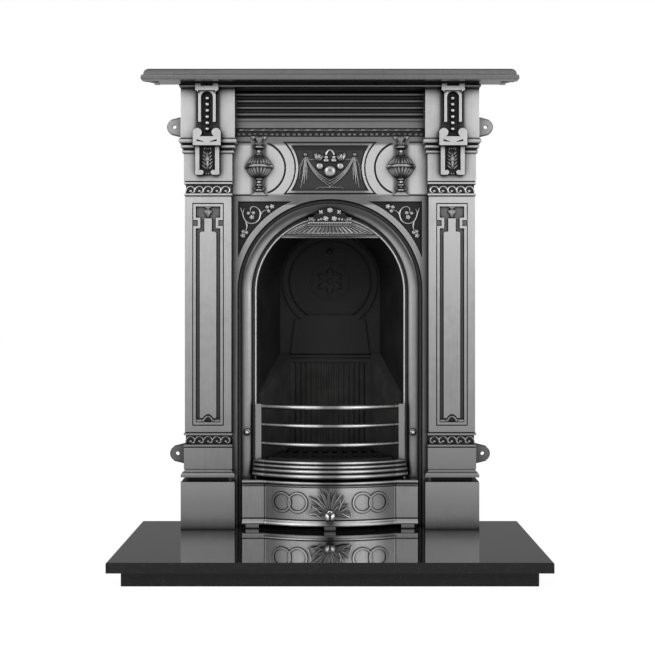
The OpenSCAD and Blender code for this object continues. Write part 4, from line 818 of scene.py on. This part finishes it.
def make_hood(flutes):
    """Fluted canopy with a moulded lip, sloping ends and a crest of flowers."""
    lip_z, neck_z, top_z = 682.5, 707.5, 746
    lip_half, neck_half = 104, 49
    lip_proud, neck_proud = 88, 66
    crest_proud = 66.2
    deselect()
    bpy.ops.mesh.primitive_grid_add(x_subdivisions=flutes * 8, y_subdivisions=40, size=1)
    canopy = bpy.context.object
    for vertex in canopy.data.vertices:
        u, v = vertex.co.x * 2, vertex.co.y + 0.5
        height = lip_z + (neck_z + 1.5 - lip_z) * v
        half = lip_half + (neck_half - lip_half) * min(1.0, v * 1.06)
        proud = lip_proud + (neck_proud - lip_proud) * v ** 0.8
        swell = 0.0
        if v < 0.11:
            swell = 1.6 * math.sqrt(max(0.0, 1 - ((v - 0.055) / 0.055) ** 2))
        elif v > 0.88:
            swell = 1.4 * math.sqrt(max(0.0, 1 - ((v - 0.94) / 0.06) ** 2))
        elif 0.15 < v < 0.85 and abs(u) < 0.98:
            along = (v - 0.15) / 0.7
            wave = abs(math.sin(math.pi * (u / 0.98 + 1) / 2 * flutes))
            swell = 2.8 * math.sqrt(wave) * min(1.0, along * 7) * min(1.0, (1 - along) * 7) - 1.0
        vertex.co = at(u * half, proud + swell, height)
    only(canopy)
    thicken = canopy.modifiers.new("wall", "SOLIDIFY")
    thicken.thickness = 4 * MM
    thicken.offset = -1.0
    bpy.ops.object.modifier_apply(modifier=thicken.name)
    ridge = [
        (0, top_z), (8, 743.5), (17, 742), (23, 735), (31, 733), (36, 726), (42, 724), (46.5, 717),
        (46, neck_z), (0, neck_z),
    ]
    back = placed(plate([both_halves(ridge)], 3, 0.4), 0, 62.5, 0)
    closer = placed(plate([arc_points(0, ARCH_Z, 160.4, 132.3, 47.7, 24)], 8, 0.3), 0, 31, 0)
    webs = []
    for side in (-1, 1):
        outline = [(side * 34, 690), (side * 40, 690), (side * 40, 712), (side * 34, 712)]
        webs.append(placed(plate([outline], 36, 0.5), 0, 31, 0))
    cast([canopy, closer] + webs, "hood_canopy", "hood", replaces=["hood"], smooth=40)
    cast([back], "hood_back", "stove_black")
    rail = [(-50, 710.6), (50, 710.6), (46, 713.6), (-46, 713.6)]
    crest = [placed(plate([rail], 4, 0.8), 0, 65, 0)]
    big, small, star = flower(6, 6.6), flower(5, 3.2), flower(4, 5.6)
    for x, z, turn, which in (
        (-9.2, 720.6, 12, big), (9.2, 720.6, 12, big), (-25, 717.6, 0, small), (27, 718.6, 0, small),
        (-19.6, 735, 40, star), (19.6, 735, 50, star), (0, 739, 0, big), (-19, 719.6, 20, small),
        (20, 719.6, 20, small),
    ):
        crest.append(placed(which, x, crest_proud, z, turn, keep=True))
    leaf, bead = lobe(15, 7, 4.4, 0.4), dome(1.7)
    for side in (-1, 1):
        for turn in (-52, -16, 20):
            crest.append(placed(leaf, side * 41, crest_proud, 712, side * turn, keep=True))
    for i in range(19):
        crest.append(placed(bead, (i - 9) * 5.0, crest_proud + 1, 709.6, keep=True))
    discard(big, small, star, leaf, bead)
    cast(crest, "hood_crest", "fruit")


# ---------------------------------------------------------------- ash cover


# The ash cover's bowed face: how proud its middle stands, how deep it bows, half its width, its radius
COVER_P = WALL_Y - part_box("ash_cover")[0].y / MM
COVER_BOW = 32
COVER_HALF = 145
COVER_RADIUS = (COVER_HALF**2 + COVER_BOW**2) / (2 * COVER_BOW)


def cover_face(x):
    """How proud of the wall the bowed face of the ash cover stands."""
    return COVER_P - COVER_RADIUS + math.sqrt(COVER_RADIUS**2 - x * x)


def bent_to_cover(thing):
    """Lets an ornament laid out flat at x = 0 follow the cover's bow."""
    for vertex in thing.data.vertices:
        vertex.co.y += (WALL_Y - cover_face(vertex.co.x / MM)) * MM
    return thing


def make_cover_ornament():
    """Broad low leaves with raised ribs, and the knob of two buds at their root."""
    root = 90.5
    leaves = []
    for turn, length, width in (
        (-24, 55, 9), (-6, 50, 8), (17, 49, 9), (38, 47, 9), (-53, 57, 9), (66, 44, 9), (-72, 44, 8),
        (92, 44, 8), (-98, 46, 8), (106, 45, 8),
    ):
        leaves.append(placed(lobe(length, width, 1.5, 0.5, 0.5), 0, 0.2, root, turn, wall=False))
    cast([bent_to_cover(joined(leaves))], "cover_leaves", "cover_leaf", "ash_cover")
    ribs = []
    for points in (
        [(-23, 49), (-17, 35), (-9, 19), (-4, 7)], [(-9, 49), (-4, 42), (-2, 29), (-2.6, 12)],
        [(-1, 47), (-2, 41), (-2, 33)], [(14, 46), (8, 33), (5, 19), (2.6, 7)],
        [(25, 38), (15.5, 27), (8, 15), (3, 1)], [(32, 32), (25, 19), (19, 4)],
        [(19, 15), (12, 7.5), (6, -1)], [(41, 11), (32, 6.4), (24, 2)],
        [(-45, 32), (-36, 26), (-24, 18), (-12, 6)],
        [(-40, 15), (-29, 5.4), (-19, -2)], [(-29, 33), (-22, 25), (-13, 15), (-9, 9)],
        [(-44, -6), (-36, -3), (-27, -6), (-19, -12)], [(-40, 23), (-42, 9), (-48, -3)],
        [(26, -3), (34, -7), (42, -12)], [(41, 8), (45, -2), (46, -9)], [(23, 28), (22, 16)],
    ):
        ribs.append(stem([(x, root + z, 1.0 if i else 0.6) for i, (x, z) in enumerate(points)], 1.25, 0.9))
    cast([bent_to_cover(placed(joined(ribs), 0, 0.9, 0, wall=False))], "cover_ribs", "cover", "ash_cover")
    knob_z = middle_of("ash_cover_knob", 2)
    neck = turned([(0.5, 0), (7, 0), (7, 1.6), (4.4, 3), (4.2, 12), (0.4, 13)], 32)
    neck.rotation_euler.x = math.radians(90)
    knob = [placed(settle(neck), 0, cover_face(0), knob_z)]
    for side in (-1, 1):
        half = placed(lobe(21, 12.4, 8.0, 0.0, 0.9), 0, 0, -10.5, wall=False)
        knob.append(placed(half, side * 5.4, cover_face(0) + 14, knob_z - 5.0, side * 12))
    cast(knob, "cover_knob", "burnished", "ash_cover", replaces=["ash_cover_knob"])


# ---------------------------------------------------------------- small ornament


def make_panel_drops():
    """A small shield that hangs from a point of each panel's top rim."""
    point = placed(plate([[(0, 0), (8, 6.4), (-8, 6.4)]], 4.0, 0.7), 0, 0, 738.6, wall=False)
    half = [(0, 739.4), (3.8, 738.4), (8.9, 735.4), (7.2, 731.4), (4.4, 728.2), (3.4, 724.6), (0, 720.4)]
    shield = plate([both_halves(half)], 4.0, 1.2)
    boss = placed(lobe(15, 8, 2.2, 0.3, 1.0), 0, 3.4, 738, 180, wall=False)
    drop = joined([point, shield, boss])
    for side, sign in SIDES.items():
        cast([placed(drop, sign * SHAFT_X, SHAFT_P - 4, 0, keep=True)], f"panel_drop_{side}", "swag")
    discard(drop)


def make_panel_feet():
    """The little arch that each panel's rim makes at its foot, over its blacked ground and a painted shadow
    along the arch.
    """
    rim_z = 283.4
    path = [(-14, 0, 1), (-9, 0.8, 1), (-5.5, 6.6, 1), (0, 9.6, 1), (5.5, 6.6, 1), (9, 0.8, 1), (14, 0, 1)]
    strip = plate([[(-25.4, -2.7), (25.4, -2.7), (25.4, 2.0), (-25.4, 2.0)]], 3.0, 0.8)
    bridge = joined([placed(strip, 0, -3, 0, wall=False), stem(path, 1.5)])
    ground = plate([[(-8.6, -2.6), (8.6, -2.6), (6, 6), (0, 8.6), (-6, 6)]], 2.0, 0.4)
    shadow = [
        (-14, 1.8), (-9, 2.6), (-5.5, 8), (0, 11), (5.5, 8), (9, 2.6), (14, 1.8), (10, 8), (5, 13), (0, 14.6),
        (-5, 13), (-10, 8),
    ]
    # A dark sheet along the arch, a painted shadow, is joined to the blacked ground.
    dark = joined([ground, plate([shadow], 2.0, 0.3)])
    for side, sign in SIDES.items():
        x = sign * SHAFT_X
        cast([placed(bridge, x, SHAFT_P + 0.4, rim_z, keep=True)], f"panel_foot_{side}", "relief")
        cast([placed(dark, x, SHAFT_P - 1.6, rim_z, keep=True)], f"panel_foot_ground_and_shadow_{side}", "stove_black")
    discard(bridge, dark)


def make_flue_door_flower():
    """Low leafy medallion on the flue door."""
    front = WALL_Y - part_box("register_door")[0].y / MM
    height = 590
    petal, leaf = lobe(34, 17, 3.0, 0.4, 0.7), lobe(24, 9, 2.4, 0.4)
    parts = []
    for i in range(6):
        parts.append(placed(petal, 0, front - 1.4, height, 60 * i, keep=True))
        parts.append(placed(leaf, 0, front - 1.8, height, 60 * i + 30, keep=True))
    parts.append(placed(dome(8, 0.5, 0.1), 0, front - 1, height))
    discard(petal, leaf)
    cast(parts, "flue_door_flower", "stove_black", "flue_door")


# ---------------------------------------------------------------- stage


# The camera's height in metres, and how far its picture is shifted so that the verticals stay upright
EYE_HEIGHT = 0.5219
VIEW_SHIFT = (-0.0038, -0.0267)


def linked(name, data):
    """A new object of the scene."""
    thing = bpy.data.objects.new(name, data)
    bpy.context.scene.collection.objects.link(thing)
    return thing


def make_camera(stage):
    data = bpy.data.cameras.new("camera")
    data.sensor_width = 36.0
    data.lens = stage.lens
    data.shift_x, data.shift_y = VIEW_SHIFT
    camera = linked("camera", data)
    camera.location = (0.0, -stage.distance, EYE_HEIGHT)
    camera.rotation_euler = (math.radians(90), 0, 0)
    bpy.context.scene.camera = camera


def make_lamp(name, place, power):
    """A square lamp that points at the object's middle."""
    data = bpy.data.lights.new(name, "AREA")
    data.shape = "RECTANGLE"
    data.size = data.size_y = 1.6
    data.energy = power
    lamp = linked(name, data)
    lamp.location = place
    lamp.rotation_euler = (Vector((0, 0, 0.5)) - Vector(place)).to_track_quat("-Z", "Y").to_euler()


def make_world(stage):
    """A soft studio: white to the camera, and to mirror rays a bright room in front of a darker end wall."""
    world = bpy.data.worlds.new("studio")
    bpy.context.scene.world = world
    world.use_nodes = True
    studio = Nodes(world.node_tree)
    camera, glossy, through = studio.rays()
    away = studio.along(studio.add("ShaderNodeTexCoord", output="Generated"), "Y")
    room = 1 - away.over(-0.25, 0.7) * (1 - stage.end_wall)
    soft = (1 - glossy) * (1 - camera) * stage.room
    strength = (camera + (room * glossy + through) + soft).clipped()
    studio.plug(world.node_tree.nodes["Background"], {"Color": grey(1.0), "Strength": strength})


def make_floor():
    """A pale floor that looks white to the camera and still keeps the object's shadow."""
    deselect()
    bpy.ops.mesh.primitive_plane_add(size=30, location=(0, 0, 0))
    floor = bpy.context.object
    floor.name = "floor"
    finish = Finish("pale_floor", base_color=grey(0.9), roughness=0.9, specular_ior_level=0.1)
    camera, glossy, through = finish.rays()
    glow = finish.add("ShaderNodeEmission", {}, {"Color": grey(1.0), "Strength": 1.08})
    seen = (camera + glossy * 0.6 + through).clipped() * 0.86
    plain = Socket(finish, finish.shader.outputs[0])
    mixed = finish.add("ShaderNodeMixShader", {}, {0: seen, 1: plain, 2: glow})
    finish.plug(finish.tree.nodes["Material Output"], {"Surface": mixed})
    floor.data.materials.append(finish.material)


# ---------------------------------------------------------------- finishes


# The frame's nodes that wear each finish
NODES_OF_FINISH = {
    "granite": "hearth_slab hearth_riser_front hearth_riser_back hearth_riser_left hearth_riser_right",
    "jamb": "jamb_left jamb_right",
    "plinth": "plinth_left plinth_right",
    "corbel": "corbel_left corbel_right",
    "burnished": "bar_knobs",
    "cover": "ash_cover",
    "bar": "front_bars",
    "arch": "arch_plate",
    "frieze": "frieze_panel",
    "shelf": "mantel_shelf bed_mould",
    "stove_black": "firebox_shell fireback grate_carrier ash_pit_base bottom_grate "
    "register_door register_knob",
    "brick": "back_brick cheek_left cheek_right",
    "bolt": "corbel_bolts shelf_screws frame_bolts firebox_bolts hinge_pin",
    "pan": "ash_pan",
}


def make_finishes(colours):
    """Makes the finishes and gives the frame's nodes theirs; the castings' tones differ by piece, partly by
    polish and partly as painted reflection.
    """
    dark, burnished, polished = colours.blacking, colours.burnished, colours.polished
    FINISHES.update(
        jamb=iron(
            "jamb_iron", dark, 0.20, burnished, sunk=(60, 89.4), panel=(260, 750), fade=0.22,
            ends=(1, 323, 325, 400, 0.4, 0.4),
        ),
        plinth=iron("plinth_iron", dark, 0.20, burnished, fade=0.42),
        burnished=iron("burnished_iron", dark, 0.22, burnished, 0.28),
        corbel=iron("corbel_iron", dark, 0.20, burnished, 0.30, 6, sunk=(96, 106)),
        arch=iron(
            "arch_iron", dark, 0.12, polished * 1.55, 0.30, sunk=(56.5, 59.5), fade=0.7,
            arch=(166, 182, 195, 750),
        ),
        frieze=iron(
            "frieze_iron", dark * 2, 0.09, polished * 0.8, 0.30, 6, bite=(0.2, 0.7), sunk=(56.5, 59.5),
            zone=(775, 886, 0.52),
        ),
        urn=iron("urn_iron", dark, 0.08, polished * 1.7, 0.30, 6),
        shelf=iron("shelf_iron", dark * 3, 0.06, polished * 0.8, 0.26),
        relief=iron("relief_iron", dark, 0.12, burnished * 0.75, 0.34, 4, fade=0.3),
        wave=iron("wave_iron", dark, 0.14, burnished, 0.36, 1.8, bite=(0.2, 0.6), fade=0.25),
        fruit=iron("fruit_iron", dark, 0.10, burnished * 0.75, 0.36, 2.5),
        swag=iron("swag_iron", dark, 0.06, polished, 0.34, 4),
        hood=iron("hood_iron", dark, 0.10, burnished * 0.62, 0.38, 5),
        bar=iron(
            "bar_iron", dark * 3, 0.22, burnished * 1.1, 0.34, 6, bite=(0.08, 0.5),
            ends=(34, 45, 105, 143, 0.85, 0.6),
        ),
        cover=iron(
            "cover_iron", dark, 0.14, burnished, 0.30, 3, bite=(0.7, 0.985),
            ends=(34, 50, 125, 140, 0.8, 0.42),
        ),
        cover_leaf=iron("cover_leaf_iron", dark, 0.04, polished * 0.6, 0.34, 5),
        stove_black=black_iron("stove_black", colours.stove_black),
        granite=granite("granite", tuple(colours.granite)),
        brick=fire_brick("fire_brick"),
        bolt=steel("bolt_steel", 0.35),
        pan=painted_steel("pan_paint"),
    )
    for finish, nodes in NODES_OF_FINISH.items():
        for node in nodes.split():
            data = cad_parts[node].data
            data.materials.clear()
            data.materials.append(FINISHES[finish])


# ---------------------------------------------------------------- settings


class FinishSettings(bpy.types.PropertyGroup):
    """Tones of the castings and the stone."""

    blacking: bpy.props.FloatProperty(
        name="Blacking", description="Tone of the black lead left in the hollows", default=0.012,
        min=0, max=1, subtype="FACTOR",
    )
    burnished: bpy.props.FloatProperty(
        name="Burnished iron", description="Tone of the jambs and reliefs where rubbed bright", default=0.50,
        min=0, max=1, subtype="FACTOR",
    )
    polished: bpy.props.FloatProperty(
        name="Polished iron", description="Tone of the frieze and shelf where rubbed", default=0.22,
        min=0, max=1, subtype="FACTOR",
    )
    stove_black: bpy.props.FloatProperty(
        name="Stove black", description="Tone of the firebox", default=0.007, min=0, max=1, subtype="FACTOR",
    )
    granite: bpy.props.FloatVectorProperty(
        name="Granite", description="Ground colour of the hearth stone", default=(0.010, 0.010, 0.011),
        size=3, min=0, max=1, subtype="COLOR",
    )


class OrnamentSettings(bpy.types.PropertyGroup):
    """Sizes of the cast ornament."""

    wave_pitch: bpy.props.FloatProperty(
        name="Wave pitch", description="Distance between running waves", default=0.0189, unit="LENGTH",
    )
    bead_radius: bpy.props.FloatProperty(
        name="Corbel beads", description="Half the width of the beads in the corbels", default=0.0042,
        unit="LENGTH",
    )
    hood_flutes: bpy.props.IntProperty(
        name="Hood flutes", description="Number of flutes across the hood", default=17, min=5, max=41,
    )


class StageSettings(bpy.types.PropertyGroup):
    """Camera, lamps and room."""

    lens: bpy.props.FloatProperty(name="Lens", description="Focal length", default=61.35, unit="CAMERA")
    distance: bpy.props.FloatProperty(
        name="Distance", description="Camera's distance from the object's middle", default=2.3785,
        unit="LENGTH",
    )
    room: bpy.props.FloatProperty(
        name="Room light", description="Strength of the soft light from all round", default=0.55,
        min=0, max=1,
    )
    end_wall: bpy.props.FloatProperty(
        name="End wall", description="How bright the wall behind the object looks in polish", default=0.18,
        min=0, max=1, subtype="FACTOR",
    )
    lamp_power: bpy.props.FloatProperty(
        name="Lamps", description="Power of the key lamp", default=50, unit="POWER",
    )


class FireplaceSettings(bpy.types.PropertyGroup):
    """All settings of the fireplace."""

    finishes: bpy.props.PointerProperty(type=FinishSettings)
    ornament: bpy.props.PointerProperty(type=OrnamentSettings)
    stage: bpy.props.PointerProperty(type=StageSettings)


# ---------------------------------------------------------------- operators


class FIREPLACE_OT_finishes(bpy.types.Operator):
    """Give the castings, bricks, bolts and stone their finishes."""

    bl_idname = "fireplace.finishes"
    bl_label = "Finishes"

    def execute(self, context):
        make_finishes(context.scene.fireplace.finishes)
        return {"FINISHED"}


class FIREPLACE_OT_wave_bands(bpy.types.Operator):
    """Model the running waves in the four bands of the jambs."""

    bl_idname = "fireplace.wave_bands"
    bl_label = "Wave bands"

    def execute(self, context):
        pitch = context.scene.fireplace.ornament.wave_pitch / MM
        make_wave_bands(pitch)
        return {"FINISHED"}


class FIREPLACE_OT_corbels(bpy.types.Operator):
    """Model the beads and the leaf of both corbels."""

    bl_idname = "fireplace.corbels"
    bl_label = "Corbels"

    def execute(self, context):
        make_corbels(context.scene.fireplace.ornament.bead_radius / MM)
        return {"FINISHED"}


class FIREPLACE_OT_leaf_band(bpy.types.Operator):
    """Model the leaf band under the reeded board."""

    bl_idname = "fireplace.leaf_band"
    bl_label = "Leaf band"

    def execute(self, context):
        make_leaf_band()
        return {"FINISHED"}


class FIREPLACE_OT_urns(bpy.types.Operator):
    """Model both gadrooned urns of the frieze."""

    bl_idname = "fireplace.urns"
    bl_label = "Urns"

    def execute(self, context):
        make_urns()
        return {"FINISHED"}


class FIREPLACE_OT_plaque(bpy.types.Operator):
    """Model the fruit, leaves and hung cloth of the plaque."""

    bl_idname = "fireplace.plaque"
    bl_label = "Plaque"

    def execute(self, context):
        make_plaque()
        return {"FINISHED"}


class FIREPLACE_OT_spandrels(bpy.types.Operator):
    """Model the vines in the corners over the arch."""

    bl_idname = "fireplace.spandrels"
    bl_label = "Spandrels"

    def execute(self, context):
        make_spandrels()
        return {"FINISHED"}


class FIREPLACE_OT_hood(bpy.types.Operator):
    """Model the fluted hood and its crest of flowers."""

    bl_idname = "fireplace.hood"
    bl_label = "Hood"

    def execute(self, context):
        make_hood(context.scene.fireplace.ornament.hood_flutes)
        return {"FINISHED"}


class FIREPLACE_OT_cover(bpy.types.Operator):
    """Model the leaves and the knob of the ash cover."""

    bl_idname = "fireplace.cover"
    bl_label = "Ash cover"

    def execute(self, context):
        make_cover_ornament()
        return {"FINISHED"}


class FIREPLACE_OT_small_ornament(bpy.types.Operator):
    """Model the drops and feet of the jambs' panels and the flower of the flue door."""

    bl_idname = "fireplace.small_ornament"
    bl_label = "Small ornament"

    def execute(self, context):
        make_panel_drops()
        make_panel_feet()
        make_flue_door_flower()
        return {"FINISHED"}


class FIREPLACE_OT_stage(bpy.types.Operator):
    """Set up the floor, room, lamps and camera."""

    bl_idname = "fireplace.stage"
    bl_label = "Stage"

    def execute(self, context):
        stage = context.scene.fireplace.stage
        make_world(stage)
        make_floor()
        make_camera(stage)
        make_lamp("key", (-2.2, -2.4, 2.0), stage.lamp_power)
        make_lamp("fill", (2.2, -2.4, 1.6), stage.lamp_power * 0.75)
        context.scene.view_settings.view_transform = "Standard"
        return {"FINISHED"}


class FIREPLACE_PT_panel(bpy.types.Panel):
    """Lists the fireplace's settings and the operators that build it."""

    bl_idname = "FIREPLACE_PT_panel"
    bl_label = "Fireplace"
    bl_space_type = "VIEW_3D"
    bl_region_type = "UI"
    bl_category = "Fireplace"

    def draw(self, context):
        settings = context.scene.fireplace
        for group in (settings.finishes, settings.ornament, settings.stage):
            box = self.layout.box()
            for name in group.__annotations__:
                box.prop(group, name)
        for operator in OPERATORS:
            self.layout.operator(operator.bl_idname)


OPERATORS = (
    FIREPLACE_OT_finishes, FIREPLACE_OT_wave_bands, FIREPLACE_OT_corbels, FIREPLACE_OT_leaf_band,
    FIREPLACE_OT_urns, FIREPLACE_OT_plaque, FIREPLACE_OT_spandrels, FIREPLACE_OT_hood, FIREPLACE_OT_cover,
    FIREPLACE_OT_small_ornament, FIREPLACE_OT_stage,
)
SETTINGS = (FinishSettings, OrnamentSettings, StageSettings, FireplaceSettings)
CLASSES = SETTINGS + OPERATORS + (FIREPLACE_PT_panel,)


def register():
    for cls in CLASSES:
        bpy.utils.register_class(cls)
    bpy.types.Scene.fireplace = bpy.props.PointerProperty(type=FireplaceSettings)


def unregister():
    del bpy.types.Scene.fireplace
    for cls in reversed(CLASSES):
        bpy.utils.unregister_class(cls)


def write_sizes():
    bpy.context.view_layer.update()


def main():
    register()
    bpy.ops.fireplace.finishes()
    bpy.ops.fireplace.wave_bands()
    bpy.ops.fireplace.corbels()
    bpy.ops.fireplace.leaf_band()
    bpy.ops.fireplace.urns()
    bpy.ops.fireplace.plaque()
    bpy.ops.fireplace.spandrels()
    bpy.ops.fireplace.hood()
    bpy.ops.fireplace.cover()
    bpy.ops.fireplace.small_ornament()
    bpy.ops.fireplace.stage()
    write_sizes()


if __name__ == "__main__":
    main()
